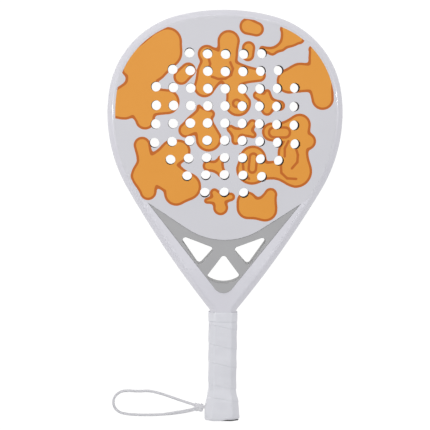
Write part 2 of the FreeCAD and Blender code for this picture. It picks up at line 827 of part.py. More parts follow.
def make_butt_cap():
    """The moulded cap: a cup pushed over the end of the handle, with a flange under the grip."""
    body = new_body("butt_cap")
    loft(body, "Additive", cap_sections(body, "cap"), "cap_skirt")
    flange_width = size("butt_width") - size("butt_end_shrink")
    flange_depth = size("butt_depth") - size("butt_end_shrink")
    flange = octagon(body, "cap_flange", 0.0, flange_width, flange_depth, size("butt_corner"))
    pad_along_handle(body, flange, size("cap_flange"), "cap_flange_pad")
    floor = size("cap_floor")
    depth = size("cap_mouth_height") - floor
    cup = octagon(body, "cap_cup", size("cap_mouth_height"),
                  size("pallet_width"), size("pallet_depth"), size("pallet_corner"))
    pocket(body, cup, "cap_cup_cut", depth * 2)
    cut_cord_hole(body, "cap_cord_hole")
    rim = edges_where(body.Shape, lambda edge: edge.BoundBox.YMax < at_height(0.0).value + NEAR)
    dress(body, "Fillet", rim, size("cap_end_round"), "cap_end_rounds")
    return body


butt_cap = make_butt_cap()


# ---------------------------------------------------------------- the grip

def make_base_grip():
    """The cushion strip wound round the handle and the butt, as one sleeve of its full thickness."""
    body = new_body("base_grip")
    top_width = size("grip_top_width")
    top_depth = size("grip_top_depth")
    waist_width = size("grip_waist_width")
    waist_depth = size("grip_waist_depth")
    butt_width = size("butt_width")
    butt_depth = size("butt_depth")
    corner = size("grip_corner")
    butt_corner = size("butt_corner")
    swell = size("flare_start_swell")
    shrink = size("flare_end_shrink")
    low_shrink = size("butt_low_shrink")
    end_shrink = size("butt_end_shrink")
    top = size("neck_height")
    outside = [
        octagon(body, "grip_top", top, top_width, top_depth, corner),
        octagon(body, "grip_below_tape", top - size("grip_top_run"), top_width, top_depth, corner),
        octagon(body, "grip_waist", size("grip_waist_height"), waist_width, waist_depth, corner),
        octagon(body, "grip_low_waist", size("grip_low_waist_height"), waist_width, waist_depth, corner),
        octagon(body, "grip_flare_start", size("flare_start_height"),
                waist_width + swell, waist_depth + swell, corner),
        octagon(body, "grip_flare_end", size("flare_end_height"),
                butt_width - shrink, butt_depth - shrink, butt_corner),
        octagon(body, "grip_butt", size("butt_full_height"), butt_width, butt_depth, butt_corner),
        octagon(body, "grip_butt_low", size("butt_low_height"),
                butt_width - low_shrink, butt_depth - low_shrink, butt_corner),
        octagon(body, "grip_end", size("cap_flange"),
                butt_width - end_shrink, butt_depth - end_shrink, butt_corner)]
    loft(body, "Additive", outside, "grip_outside")
    length = top - size("cap_mouth_height")
    bore = octagon(body, "grip_bore", top, size("pallet_width"), size("pallet_depth"), size("pallet_corner"))
    pocket(body, bore, "grip_bore_cut", length * 2)
    loft(body, "Subtractive", cap_sections(body, "grip_socket"), "grip_socket_cut")
    cut_cord_hole(body, "grip_cord_hole")
    return body


def make_finishing_tape():
    """The thin tape wound once over the grip's top end, which keeps it closed."""
    body = new_body("grip_finishing_tape")
    width = size("grip_top_width")
    depth = size("grip_top_depth")
    corner = size("grip_corner")
    thickness = size("tape_thickness")
    low = size("neck_height") - size("tape_width")
    band = octagon(body, "tape_outside", low, width + thickness * 2, depth + thickness * 2, corner)
    pad_along_handle(body, band, size("tape_width"), "tape_band")
    bore = octagon(body, "tape_inside", low, width, depth, corner)
    pocket(body, bore, "tape_bore")
    return body


base_grip = make_base_grip()
finishing_tape = make_finishing_tape()


# ---------------------------------------------------------------- the wrist cord

# Corners of the cord's way as (x, height above the butt's end, z).  It leaves the stop knot
# inside the cap, comes out of the butt's left side, drops through the outer knot to the
# surface, lies there in one long loop and goes back up into the outer knot.
CORD_ROUTE = [
    (-9.6, 13.2, 19.2),
    (-15.4, 13.7, 18.9),
    (-20.8, 13.5, 18.3),
    (-26.0, 14.6, 11.6),
    (-33.0, 17.2, 5.2),
    (-44.0, 21.0, 2.3),
    (-57.5, 26.2, 2.0),
    (-71.0, 30.3, 2.0),
    (-83.0, 32.9, 2.0),
    (-94.0, 31.7, 2.0),
    (-103.8, 32.9, 2.0),
    (-113.8, 31.4, 2.0),
    (-121.0, 24.4, 2.0),
    (-121.9, 14.3, 2.0),
    (-116.0, 6.0, 2.0),
    (-106.2, 2.9, 2.0),
    (-94.0, 2.2, 2.0),
    (-80.0, 2.9, 2.0),
    (-65.5, 5.5, 2.0),
    (-51.5, 7.3, 2.0),
    (-40.5, 9.3, 4.6),
    (-31.0, 10.8, 10.4),
]
BEND_SHARE = 0.45
KNOT_PLACE = (-26.6, 13.8, 11.8)
KNOT_SLOPE = 47.0
STOP_KNOT_PLACE = (-9.5, 13.2, 19.0)


def cord_path(route):
    """Straight runs joined by tangent arcs, each as large as its two runs allow."""
    corners = [Vector(x, at_height(height).value, z) for x, height, z in route]
    edges = []
    radii = []
    last = corners[0]
    for before, corner, after in zip(corners, corners[1:], corners[2:]):
        way_in = (corner - before).normalize()
        way_out = (after - corner).normalize()
        setback = BEND_SHARE * min((corner - before).Length, (after - corner).Length)
        half_turn = way_in.getAngle(way_out) / 2
        radius = setback / math.tan(half_turn)
        inward = (way_out - way_in).normalize()
        middle = corner + inward * (radius / math.cos(half_turn) - radius)
        start = corner - way_in * setback
        end = corner + way_out * setback
        edges.append(Part.LineSegment(last, start).toShape())
        edges.append(Part.Arc(start, middle, end).toShape())
        radii.append(radius)
        last = end
    edges.append(Part.LineSegment(last, corners[-1]).toShape())
    return Part.Wire(edges), radii


def make_cord():
    """The wrist cord, as a round tube along its way."""
    radius = SIZES["cord_diameter"] / 2
    path, radii = cord_path(CORD_ROUTE)
    start = path.Edges[0]
    circle = Part.Circle(start.Vertexes[0].Point, start.tangentAt(start.FirstParameter), radius)
    tube = path.makePipeShell([Part.Wire(circle.toShape())], True, False)
    cord = doc.addObject("Part::Feature", "wrist_cord")
    cord.Label = "wrist_cord"
    cord.Shape = tube
    expected = math.pi * radius ** 2 * path.Length
    print("cord length %.1f, volume %.0f against %.0f" % (path.Length, tube.Volume, expected))
    print("bend radii", " ".join("%.1f" % bend for bend in radii))
    return cord


def make_knot(name, centre, half_length, half_width, half_depth, slope):
    """A knot as the ellipsoid that it fills, its long axis leaning down by slope degrees."""
    knot = doc.addObject("Part::Ellipsoid", name)
    knot.Label = name
    for prop, amount in (("Radius1", half_depth), ("Radius2", half_length), ("Radius3", half_width)):
        setattr(knot, prop, amount.value)
        knot.setExpression(prop, amount.text)
    x, height, z = centre
    place = Vector(x, at_height(height).value, z)
    knot.Placement = Placement(place, Rotation(Vector(0, 1, 0), -slope))
    return knot


wrist_cord = make_cord()
cord_knot = make_knot(
    "cord_knot", KNOT_PLACE,
    size("knot_half_length"), size("knot_half_width"), size("knot_half_depth"), KNOT_SLOPE)
stop_knot_radius = size("stop_knot_radius")
cord_stop_knot = make_knot(
    "cord_stop_knot", STOP_KNOT_PLACE, stop_knot_radius, stop_knot_radius, stop_knot_radius, 0.0)


# ---------------------------------------------------------------- checks and files

NODES = [
    frame_tube, core, front_skin, back_skin, throat_bridge, bridge_foam,
    pallet_front, pallet_back, butt_cap, base_grip, finishing_tape,
    wrist_cord, cord_knot, cord_stop_knot]


def check_and_export(nodes):
    doc.recompute()
    for item in doc.Objects:
        for fault in ("Invalid", "Error"):
            if fault in item.State:
                raise RuntimeError("%s is %s" % (item.Name, fault))
    os.makedirs("parts", exist_ok=True)
    for node in nodes:
        shape = node.Shape
        if shape.isNull() or not shape.isValid() or not shape.Solids:
            raise RuntimeError(node.Label + " has no valid solid")
    for node in nodes:
        node.Shape.exportStep("parts/" + node.Label + ".step")
        box = node.Shape.BoundBox
        print("%-20s %9.0f mm3  %6.1f x %6.1f x %5.1f" % (
            node.Label, node.Shape.Volume, box.XLength, box.YLength, box.ZLength))


check_and_export(NODES)
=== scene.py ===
# %% [markdown]
# # A padel racket, dressed in Blender
# The engineering model of the racket is loaded first and stays as it is. This file then gives every part
# its finish: a lacquered tube frame, two printed faces over a black foam core, a grey bridge in the
# throat, a wound cushion grip with a black butt cap, and a woven wrist cord that lies in a loop beside the
# butt.

# %% Load the racket
import math

import bmesh
import bpy
import numpy as np
from mathutils import Matrix, Vector
from mathutils.kdtree import KDTree


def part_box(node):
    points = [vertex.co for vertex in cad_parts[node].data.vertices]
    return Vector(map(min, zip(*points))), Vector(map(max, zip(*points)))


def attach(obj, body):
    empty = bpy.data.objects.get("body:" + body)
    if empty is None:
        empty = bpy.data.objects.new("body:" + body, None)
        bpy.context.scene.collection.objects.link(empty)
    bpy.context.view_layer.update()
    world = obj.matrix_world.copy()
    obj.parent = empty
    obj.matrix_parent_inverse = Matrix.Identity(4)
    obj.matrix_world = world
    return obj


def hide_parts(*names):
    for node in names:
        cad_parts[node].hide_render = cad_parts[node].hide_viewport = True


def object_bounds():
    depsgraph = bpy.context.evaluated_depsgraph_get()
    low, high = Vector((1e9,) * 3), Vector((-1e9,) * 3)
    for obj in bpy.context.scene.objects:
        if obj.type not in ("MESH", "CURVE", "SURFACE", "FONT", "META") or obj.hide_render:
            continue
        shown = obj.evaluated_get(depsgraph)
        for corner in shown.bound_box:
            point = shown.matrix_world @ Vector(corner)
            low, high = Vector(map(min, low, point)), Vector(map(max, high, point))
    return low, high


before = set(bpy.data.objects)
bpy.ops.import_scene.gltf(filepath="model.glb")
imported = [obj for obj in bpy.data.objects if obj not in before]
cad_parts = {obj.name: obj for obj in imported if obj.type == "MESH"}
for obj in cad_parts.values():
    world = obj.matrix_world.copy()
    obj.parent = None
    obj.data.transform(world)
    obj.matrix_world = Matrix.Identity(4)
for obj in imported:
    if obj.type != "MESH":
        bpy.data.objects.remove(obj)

CAD_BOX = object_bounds()
print("parts:", ", ".join(sorted(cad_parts)))
print("size in mm:", [round(1000 * x, 1) for x in CAD_BOX[1] - CAD_BOX[0]])

# %% [markdown]
# ## A maker's ruler
# The racket lies on its back face: +Y runs from the butt to the top of the head, and +Z is up. A racket
# maker measures heights from the end of the butt, in millimetres, so a place here is given as x, height
# and z in millimetres, and one function turns it into Blender's metres.

# %% Millimetres and heights
MM = 0.001
BUTT_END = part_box("butt_cap")[0].y
RACKET_LENGTH = (CAD_BOX[1].y - BUTT_END) / MM
RACKET_DEPTH = CAD_BOX[1].z / MM
MIDDLE_Z = RACKET_DEPTH / 2


def place(x, height, z):
    """A point of the racket in metres, from millimetres and a height above the end of the butt."""
    return Vector((x * MM, BUTT_END + height * MM, z * MM))


def top_of(node):
    """How high above the end of the butt a part reaches, in millimetres."""
    return (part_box(node)[1].y - BUTT_END) / MM


print("racket length %.0f mm, depth %.0f mm" % (RACKET_LENGTH, RACKET_DEPTH))

# %% [markdown]
# ## The camera
# A long lens far above the racket keeps its outline true, as in a shop's picture. The camera stands a
# little left of the handle's line and over the upper half, so the far walls of the holes show as thin dark
# crescents. An orthographic camera would be simpler, but then every hole would look the same.

# %% Camera
CAMERA_STANDS = (-37.0, 349.0, 2400.0)
CAMERA_AIMS = (-10.0, 228.5, 30.0)
CAMERA_LEAN = math.radians(0.56)
VIEW_WIDTH = 475.4
SENSOR = 36.0

eye = place(*CAMERA_STANDS)
aim = place(*CAMERA_AIMS)
backwards = (eye - aim).normalized()
leaning_up = Vector((-math.sin(CAMERA_LEAN), math.cos(CAMERA_LEAN), 0))
rightwards = leaning_up.cross(backwards).normalized()
upwards = backwards.cross(rightwards)
camera_data = bpy.data.cameras.new("camera")
camera_data.sensor_width = SENSOR
camera_data.lens = SENSOR * (eye - aim).length / (VIEW_WIDTH * MM)
camera = bpy.data.objects.new("camera", camera_data)
camera.location = eye
camera.rotation_euler = Matrix((rightwards, upwards, backwards)).transposed().to_euler()
bpy.context.scene.collection.objects.link(camera)
bpy.context.scene.camera = camera
print("lens %.0f mm, %.2f m away" % (camera_data.lens, (eye - aim).length))

# %% [markdown]
# ## Colours and nodes
# A finish is described by the colour a painter would match, an sRGB hex value. Blender's shaders work with
# linear light, so one function converts it. A second function adds any node, shader or geometry, with its
# settings and its links, which keeps each tree down to a few readable lines. Most finishes end in the same
# way, with two close shades mixed by a pattern and a shallow relief, so a last function does that.

# %% Colour and node helpers
def linear(colour):
    """An sRGB hex value as Blender's linear colour with full alpha."""
    shares = [int(colour[i:i + 2], 16) / 255 for i in (1, 3, 5)]
    return [s / 12.92 if s <= 0.04045 else ((s + 0.055) / 1.055) ** 2.4 for s in shares] + [1.0]


def add(tree, kind, inputs=None, **settings):
    """Adds a node, makes its settings, and sets or links its inputs by name or by number."""
    node = tree.nodes.new(kind)
    for name, value in settings.items():
        setattr(node, name, value)
    for name, value in (inputs or {}).items():
        if isinstance(value, bpy.types.NodeSocket):
            tree.links.new(value, node.inputs[name])
        else:
            node.inputs[name].default_value = value
    return node


def new_finish(name, colour, numbers):
    """A material with one colour and the numbers that are the same all over, and its tree and shader."""
    finish = bpy.data.materials.new(name)
    finish.use_nodes = True
    shader = finish.node_tree.nodes["Principled BSDF"]
    shader.inputs["Base Color"].default_value = linear(colour)
    for socket, value in numbers.items():
        shader.inputs[socket].default_value = value
    return finish, finish.node_tree, shader


def tone_and_bump(tree, shader, tone, dark, light, height, strength, depth):
    """Colours a shader between two shades, and raises a relief this many millimetres deep from a height."""
    colour = add(tree, "ShaderNodeMix", {0: tone, 6: linear(dark), 7: linear(light)}, data_type="RGBA")
    bump = add(tree, "ShaderNodeBump", {"Strength": strength, "Distance": depth * MM, "Height": height})
    tree.links.new(colour.outputs[2], shader.inputs["Base Color"])
    tree.links.new(bump.outputs["Normal"], shader.inputs["Normal"])
    return bump


print("white in linear light:", [round(x, 2) for x in linear("#FFFFFF")])

# %% [markdown]
# ## Making pieces
# A few small tools serve every piece. They make an object from points and faces, merge a copy of an
# engineering part, turn whatever a piece's modifiers give into its plain mesh, and hand the finished piece
# to the racket: it rides on the racket's body, stands in for the plain engineering part, and gets its
# finish. Three more open, close and run a Geometry Nodes tree.

# %% Piece helpers
SAME_POINT = 1e-6
STILL_FLAT = math.radians(0.5)


def new_piece(name, mesh):
    """An object in the scene with this mesh."""
    piece = bpy.data.objects.new(name, mesh)
    bpy.context.scene.collection.objects.link(piece)
    return piece


def mesh_of(name, points, faces):
    """A mesh whose faces all point outwards."""
    mesh = bpy.data.meshes.new(name)
    mesh.from_pydata([tuple(p) for p in points], [], faces)
    shape = bmesh.new()
    shape.from_mesh(mesh)
    bmesh.ops.recalc_face_normals(shape, faces=shape.faces)
    shape.to_mesh(mesh)
    shape.free()
    return mesh


def forget_normals(mesh):
    """Drops the shading directions that came with a mesh, so that its own faces decide."""
    if "custom_normal" in mesh.attributes:
        mesh.attributes.remove(mesh.attributes["custom_normal"])


def merged_copy(node, in_triangles=True):
    """A part's mesh as one closed skin: the engineering file stores it as loose triangles."""
    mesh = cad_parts[node].data.copy()
    shape = bmesh.new()
    shape.from_mesh(mesh)
    bmesh.ops.remove_doubles(shape, verts=shape.verts, dist=SAME_POINT)
    bmesh.ops.dissolve_limit(shape, angle_limit=STILL_FLAT, verts=shape.verts, edges=shape.edges)
    if in_triangles:
        bmesh.ops.triangulate(shape, faces=shape.faces)
    shape.to_mesh(mesh)
    shape.free()
    mesh.materials.clear()
    forget_normals(mesh)
    return mesh


def store(mesh, name, values):
    """Keeps a number on each vertex, where the node trees can read it by this name."""
    mesh.attributes.new(name, "FLOAT", "POINT").data.foreach_set("value", np.asarray(values, np.float32))


def freeze(piece):
    """Gives a piece the plain mesh that its modifiers make, and removes them."""
    graph = bpy.context.evaluated_depsgraph_get()
    mesh = bpy.data.meshes.new_from_object(piece.evaluated_get(graph))
    piece.modifiers.clear()
    piece.data = mesh
    return piece


def smooth(piece, sharp_over=30):
    """Shades a piece smoothly, but crisp where it turns by more degrees than this, with flats kept flat."""
    shape = bmesh.new()
    shape.from_mesh(piece.data)
    for face in shape.faces:
        face.smooth = True
    for edge in shape.edges:
        edge.smooth = edge.is_manifold and edge.calc_face_angle() < math.radians(sharp_over)
    shape.to_mesh(piece.data)
    shape.free()
    forget_normals(piece.data)
    flats = piece.modifiers.new("flats", "WEIGHTED_NORMAL")
    flats.keep_sharp = True
    flats.weight = 100
    return freeze(piece)


def hand_over(piece, finish, slot, *parts):
    """The piece takes the place of these parts of the racket, with this finish."""
    piece.data.materials.clear()
    piece.data.materials.append(finish)
    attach(piece, "root")
    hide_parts(*parts)
    print("%s: %d faces" % (piece.name, len(piece.data.polygons)))


def paint_part(part, finish):
    """A part that keeps its engineering mesh gets its finish."""
    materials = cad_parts[part].data.materials
    materials.clear()
    materials.append(finish)


def tree_with(name, wanted):
    """A Geometry Nodes tree with named inputs, its input node, and a way to close it."""
    tree = bpy.data.node_groups.new(name, "GeometryNodeTree")
    tree.interface.new_socket("Geometry", in_out="INPUT", socket_type="NodeSocketGeometry")
    for socket, kind in wanted.items():
        tree.interface.new_socket(socket, in_out="INPUT", socket_type="NodeSocket" + kind)
    tree.interface.new_socket("Geometry", in_out="OUTPUT", socket_type="NodeSocketGeometry")
    return tree, add(tree, "NodeGroupInput").outputs


def close_tree(tree, geometry, finish):
    """Ends a tree as the export needs it: real geometry, with its finish set."""
    real = add(tree, "GeometryNodeRealizeInstances", {"Geometry": geometry})
    painted = add(tree, "GeometryNodeSetMaterial", {"Geometry": real.outputs[0], "Material": finish})
    add(tree, "NodeGroupOutput", {"Geometry": painted.outputs[0]})


def run_tree(piece, tree, values):
    """Runs a Geometry Nodes tree on a piece with these named inputs and keeps the result."""
    modifier = piece.modifiers.new(tree.name, "NODES")
    modifier.node_group = tree
    for item in tree.interface.items_tree:
        if item.item_type == "SOCKET" and item.in_out == "INPUT" and item.name in values:
            modifier[item.identifier] = values[item.name]
    return freeze(piece)


# %% [markdown]
# ## The wrist cord's route
# The cord is a limp woven tape that leaves a hole in the left side of the butt, drops to the table through
# its knot, and lies in one long narrow loop whose end goes back into the knot. Its route is a NURBS curve:
# the points only pull the line towards them, so a few listed points give one smooth, slack line
# without kinks.

# %% Cord route
CORD_ROUTE = [
    (-9.6, 13.2, 19.2), (-15.4, 13.7, 18.9), (-20.8, 13.4, 18.3), (-26.0, 12.8, 11.6), (-33.0, 14.6, 5.2),
    (-44.0, 17.5, 2.3), (-57.5, 22.2, 2.0), (-71.0, 26.6, 2.0), (-83.0, 29.0, 2.0), (-94.0, 28.0, 2.0),
    (-103.8, 28.8, 2.0), (-113.8, 28.2, 2.0), (-121.2, 21.6, 2.0), (-122.2, 12.4, 2.0), (-116.6, 4.6, 2.0),
    (-106.2, 2.2, 2.0), (-94.0, 1.5, 2.0), (-80.0, 1.5, 2.0), (-65.5, 2.2, 2.0), (-51.5, 4.1, 2.0),
    (-40.5, 6.4, 4.6), (-32.0, 9.0, 9.4), (-26.8, 11.4, 11.6)]


def nurbs_line(name, route, fineness):
    """The points of one smooth open curve through space, as Blender works them out."""
    curve = bpy.data.curves.new(name, "CURVE")
    curve.dimensions = "3D"
    spline = curve.splines.new("NURBS")
    spline.points.add(len(route) - 1)
    for point, spot in zip(spline.points, route):
        point.co = (*place(*spot), 1.0)
    spline.order_u = 3
    spline.use_endpoint_u = True
    spline.resolution_u = fineness
    line = bpy.data.objects.new(name, curve)
    bpy.context.scene.collection.objects.link(line)
    graph = bpy.context.evaluated_depsgraph_get()
    mesh = bpy.data.meshes.new_from_object(line.evaluated_get(graph))
    points = [vertex.co.copy() for vertex in mesh.vertices]
    bpy.data.objects.remove(line)
    return points


cord_line = nurbs_line("wrist_cord_route", CORD_ROUTE, 12)

# %% [markdown]
# ## The cord's tape
# Wrist cords on these rackets are flat woven polyester tape, here 4 mm wide. It is made 2.8 mm thick,
# fuller than real tape, so that the thin pale strand still reads from far above. Along the loop the tape
# stands on its edge, and near the knot both runs turn and lie flat. Geometry Nodes sweep a rounded section
# along the route: Curve to Mesh does in one node what a loop over rings would, and the two coordinates
# that the weave needs, along the tape and across it, are caught on the way.

# %% Woven polyester: chevron rows of soft yarn, matt with a faint sheen
TAPE_WIDTH = 4.0
TAPE_THICKNESS = 2.8
YARN_ROW = 1.1
YARN_SLANT = 0.45
FUZZ_SIZE = 0.4
FUZZ_SHARE = 0.8
cord_yarn, yarn_tree, yarn_shader = new_finish("woven_polyester_tape", "#DAD9DC", {
    "Roughness": 0.85, "IOR": 1.5, "Specular IOR Level": 0.25, "Sheen Weight": 0.25, "Sheen Roughness": 0.4})
along_tape = add(yarn_tree, "ShaderNodeAttribute", attribute_name="along_tape").outputs["Fac"]
across_tape = add(yarn_tree, "ShaderNodeAttribute", attribute_name="across_tape").outputs["Fac"]
slanted = add(yarn_tree, "ShaderNodeMath", {0: across_tape, 1: TAPE_WIDTH / 2},
              operation="PINGPONG").outputs[0]
row = add(yarn_tree, "ShaderNodeMath", {0: slanted, 1: YARN_SLANT, 2: along_tape}, operation="MULTIPLY_ADD")
turns = add(yarn_tree, "ShaderNodeMath", {0: row.outputs[0], 1: math.tau / YARN_ROW}, operation="MULTIPLY")
ridge = add(yarn_tree, "ShaderNodeMath", {0: turns.outputs[0]}, operation="SINE")
fuzz = add(yarn_tree, "ShaderNodeTexNoise", {
    "Scale": 1 / (FUZZ_SIZE * MM), "Detail": 3.0, "Roughness": 0.6,
    "Vector": add(yarn_tree, "ShaderNodeTexCoord").outputs["Object"]})
yarn_height = add(yarn_tree, "ShaderNodeMath", {
    0: fuzz.outputs["Fac"], 1: FUZZ_SHARE, 2: ridge.outputs[0]}, operation="MULTIPLY_ADD")
# The yarn's colour follows its relief: painted shade, darker in the grooves between the rows and in the
# hollows of the fuzz, lighter on the crests.
yarn_painted_shade = add(yarn_tree, "ShaderNodeMapRange", {
    "Value": yarn_height.outputs[0], "From Min": -1.0, "From Max": 1.0 + FUZZ_SHARE})
tone_and_bump(yarn_tree, yarn_shader, yarn_painted_shade.outputs[0], "#C6C5C9", "#E6E5E7",
              yarn_height.outputs[0], 0.6, 0.2)
print("yarn rows are %.1f mm apart" % YARN_ROW)

# %% Sweep the tape
TAPE_EDGE_SHARE = 0.45

tape_tree, tape_inputs = tree_with("woven_tape", {
    "Width": "Float", "Thickness": "Float", "Edge Round": "Float"})
route = add(tape_tree, "GeometryNodeMeshToCurve", {"Mesh": tape_inputs["Geometry"]})
upright = add(tape_tree, "GeometryNodeSetCurveNormal", {"Curve": route.outputs[0]}, mode="Z_UP")
turn = add(tape_tree, "GeometryNodeInputNamedAttribute", {"Name": "tape_turn"}, data_type="FLOAT")
turned = add(tape_tree, "GeometryNodeSetCurveTilt", {"Curve": upright.outputs[0], "Tilt": turn.outputs[0]})
run = add(tape_tree, "GeometryNodeSplineParameter")
run_mm = add(tape_tree, "ShaderNodeMath", {0: run.outputs["Length"], 1: 1 / MM}, operation="MULTIPLY")
marked = add(tape_tree, "GeometryNodeStoreNamedAttribute", {
    "Geometry": turned.outputs[0], "Name": "along_tape", "Value": run_mm.outputs[0]}, domain="POINT")
section = add(tape_tree, "GeometryNodeCurvePrimitiveQuadrilateral", {
    "Width": tape_inputs["Width"], "Height": tape_inputs["Thickness"]})
rounded = add(tape_tree, "GeometryNodeFilletCurve", {
    "Curve": section.outputs[0], "Count": 3, "Radius": tape_inputs["Edge Round"]}, mode="POLY")
side = add(tape_tree, "ShaderNodeSeparateXYZ", {0: add(tape_tree, "GeometryNodeInputPosition").outputs[0]})
side_mm = add(tape_tree, "ShaderNodeMath", {0: side.outputs["X"], 1: 1 / MM}, operation="MULTIPLY")
marked_section = add(tape_tree, "GeometryNodeStoreNamedAttribute", {
    "Geometry": rounded.outputs[0], "Name": "across_tape", "Value": side_mm.outputs[0]}, domain="POINT")
swept = add(tape_tree, "GeometryNodeCurveToMesh", {
    "Curve": marked.outputs[0], "Profile Curve": marked_section.outputs[0], "Fill Caps": True})
close_tree(tape_tree, swept.outputs[0], cord_yarn)


def ease(value, start, end):
    """0 before start, 1 after end, and a smooth change between them."""
    share = np.clip((value - start) / (end - start), 0.0, 1.0)
    return share * share * (3 - 2 * share)


def woven_tape(name, line, turns, width, thickness):
    """A tape along a line of points, turned about the line by the angle given at each point."""
    mesh = bpy.data.meshes.new(name)
    mesh.from_pydata(line, [(i, i + 1) for i in range(len(line) - 1)], [])
    store(mesh, "tape_turn", turns)
    piece = new_piece(name, mesh)
    run_tree(piece, tape_tree, {
        "Width": width * MM, "Thickness": thickness * MM, "Edge Round": thickness * TAPE_EDGE_SHARE * MM})
    smooth(piece, 50)
    return piece


print("tape tree: %d nodes" % len(tape_tree.nodes))

# %% Lay the tape along the route, from flat to standing and back, at these shares of its length
STANDS_UP = (0.10, 0.17)
LIES_DOWN = (0.80, 0.93)
LOOP_IS_LEFT_OF = -60.0

cord_share = np.linspace(0, 1, len(cord_line))
cord_turns = math.radians(90) * ease(cord_share, *STANDS_UP) * (1 - ease(cord_share, *LIES_DOWN))
wrist_cord = woven_tape("wrist_cord_tape", cord_line, cord_turns, TAPE_WIDTH, TAPE_THICKNESS)
hand_over(wrist_cord, cord_yarn, "cord_fabric", "wrist_cord")
loop_tops = [v.co.z / MM for v in wrist_cord.data.vertices if v.co.x / MM < LOOP_IS_LEFT_OF]
print("the loop stands %.1f mm high on the table" % max(loop_tops))

# %% [markdown]
# ## The knots
# One overhand knot gathers the loop outside the butt, and a smaller one inside keeps the cord from pulling
# out. The line of a trefoil knot is three short polynomials. A tape swept along it and pulled tight would
# cut through itself, so a voxel remesh fuses the crossings into one soft skin, as yarn that is squeezed
# together looks. The outer knot sits a little nearer to the butt's end and is fuller than the engineering
# one, where the two runs of the loop meet it.

# %% Tie the knots
KNOT_FINENESS = 0.22
KNOT_ENDS = 2.05
KNOT_STEPS = 260


def search_tree(spots):
    """A tree that finds the nearest of these spots quickly."""
    tree = KDTree(len(spots))
    for i, spot in enumerate(spots):
        tree.insert(spot, i)
    tree.balance()
    return tree


def follow_line(piece, line):
    """Stores on each vertex how far along a line its nearest point is, so that the yarn rows follow it."""
    tree = search_tree(line)
    lengths = np.cumsum([0.0] + [(b - a).length / MM for a, b in zip(line, line[1:])])
    reached = np.array([lengths[tree.find(vertex.co)[1]] for vertex in piece.data.vertices])
    store(piece.data, "along_tape", reached)


def overhand_knot(name, part, shift, stretch, yarn_width, yarn_thickness):
    """An overhand knot in a part's place, moved and stretched a little, from yarn of this thickness."""
    low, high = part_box(part)
    middle = (low + high) / 2 + Vector(shift) * MM
    steps = np.linspace(-KNOT_ENDS, KNOT_ENDS, KNOT_STEPS)
    line = np.stack([steps ** 5 / 5 - 2 * steps, steps ** 4 - 4 * steps ** 2 + 2, steps ** 3 - 3 * steps], 1)
    room = np.array(high - low) / MM / 2 * stretch - yarn_thickness / 2
    points = [middle + Vector(p) * MM for p in line / np.abs(line).max(0) * room]
    piece = woven_tape(name, points, np.zeros(len(points)), yarn_width, yarn_thickness)
    fused = piece.modifiers.new("fuse", "REMESH")
    fused.mode = "VOXEL"
    fused.voxel_size = KNOT_FINENESS * MM
    softened = piece.modifiers.new("soften", "SMOOTH")
    softened.iterations = 4
    freeze(piece)
    follow_line(piece, points)
    smooth(piece, 180)
    hand_over(piece, cord_yarn, "cord_fabric", part)
    return piece


loop_knot = overhand_knot("loop_knot", "cord_knot", (0.6, -2.0, 0.0), (1.25, 1.15, 1.0), 4.4, 3.4)
stop_knot = overhand_knot("stop_knot", "cord_stop_knot", (0, 0, 0), (1, 1, 1), 2.6, 2.4)

# %% [markdown]
# ## The racket's soft envelope
# The moulded tube has no sharp edge anywhere, but a bevel would stop at the narrow rim round the face. So
# the whole racket gets one smooth outer body first: a rounded section swept round the outline, closed by
# flat faces. Cutting each part by that body rounds the frame and the edges of the faces in one go, and
# they still meet.

# %% Read the outline from the frame
RIM_CHAMFER = 6.0
EDGE_ROUND = 5.0
WALL_SKIM = 0.12
OUTLINE_STEP = 1.5
NECK_HEIGHT = top_of("base_grip")
HEAD_SOFTENING = 5.0
NECK_SOFTENING = 1.2
ABOVE_NECK = 0.05


def right_outline():
    """The frame's outline from the middle of the head's top down its right side to the neck."""
    shape = bmesh.new()
    shape.from_mesh(merged_copy("frame_tube", in_triangles=False))
    everything = shape.verts[:] + shape.edges[:] + shape.faces[:]
    cut = bmesh.ops.bisect_plane(shape, geom=everything, plane_co=(0, 0, MIDDLE_Z * MM), plane_no=(0, 0, 1),
                                 clear_inner=True, clear_outer=True)["geom_cut"]
    at = max((g for g in cut if isinstance(g, bmesh.types.BMVert)), key=lambda v: (v.co.y, -abs(v.co.x)))
    steps = [edge.other_vert(at) for edge in at.link_edges]
    last, at_next = at, max(steps, key=lambda v: v.co.x)
    found = [(0.0, (at.co.y - BUTT_END) / MM)]
    while (at_next.co.y - BUTT_END) / MM > NECK_HEIGHT + ABOVE_NECK:
        found.append((at_next.co.x / MM, (at_next.co.y - BUTT_END) / MM))
        last, at_next = at_next, next(
            e.other_vert(at_next) for e in at_next.link_edges if e.other_vert(at_next) != last)
    shape.free()
    return np.array(found)


outline = right_outline()
print("outline: %d corners, neck half width %.1f mm" % (len(outline), outline[-1][0]))

# %% Smooth the outline and find which way is in
def reached_along(points):
    """How far along a flat line each of its points is."""
    return np.concatenate([[0.0], np.cumsum(np.hypot(*np.diff(points, axis=0).T))])


def resampled(points, step):
    """A line's points at equal steps."""
    lengths = reached_along(points)
    at = np.linspace(0.0, lengths[-1], int(lengths[-1] / step) + 1)
    return np.stack([np.interp(at, lengths, points[:, k]) for k in (0, 1)], 1)


def bell_mean(points, reach, step, width):
    """A running mean of points, weighted by a bell curve. It uses up reach points at each end."""
    bell = np.exp(-0.5 * (np.arange(-reach, reach + 1) * step / width) ** 2)
    return np.stack([np.convolve(points[:, k], bell / bell.sum(), "valid") for k in (0, 1)], 1)


def softened_line(points, width, step):
    """The line from the head's top to the neck with its corners rounded by a running mean."""
    reach = int(4 * width / step)
    mirrored = points[reach:0:-1] * (-1, 1)
    beyond = points[-1] + (points[-1] - points[-2]) * np.arange(1, reach + 1)[:, None]
    return bell_mean(np.concatenate([mirrored, points, beyond]), reach, step, width)


OUTLINE_END = 10.0
NECK_BLEND = (30.0, 12.0)

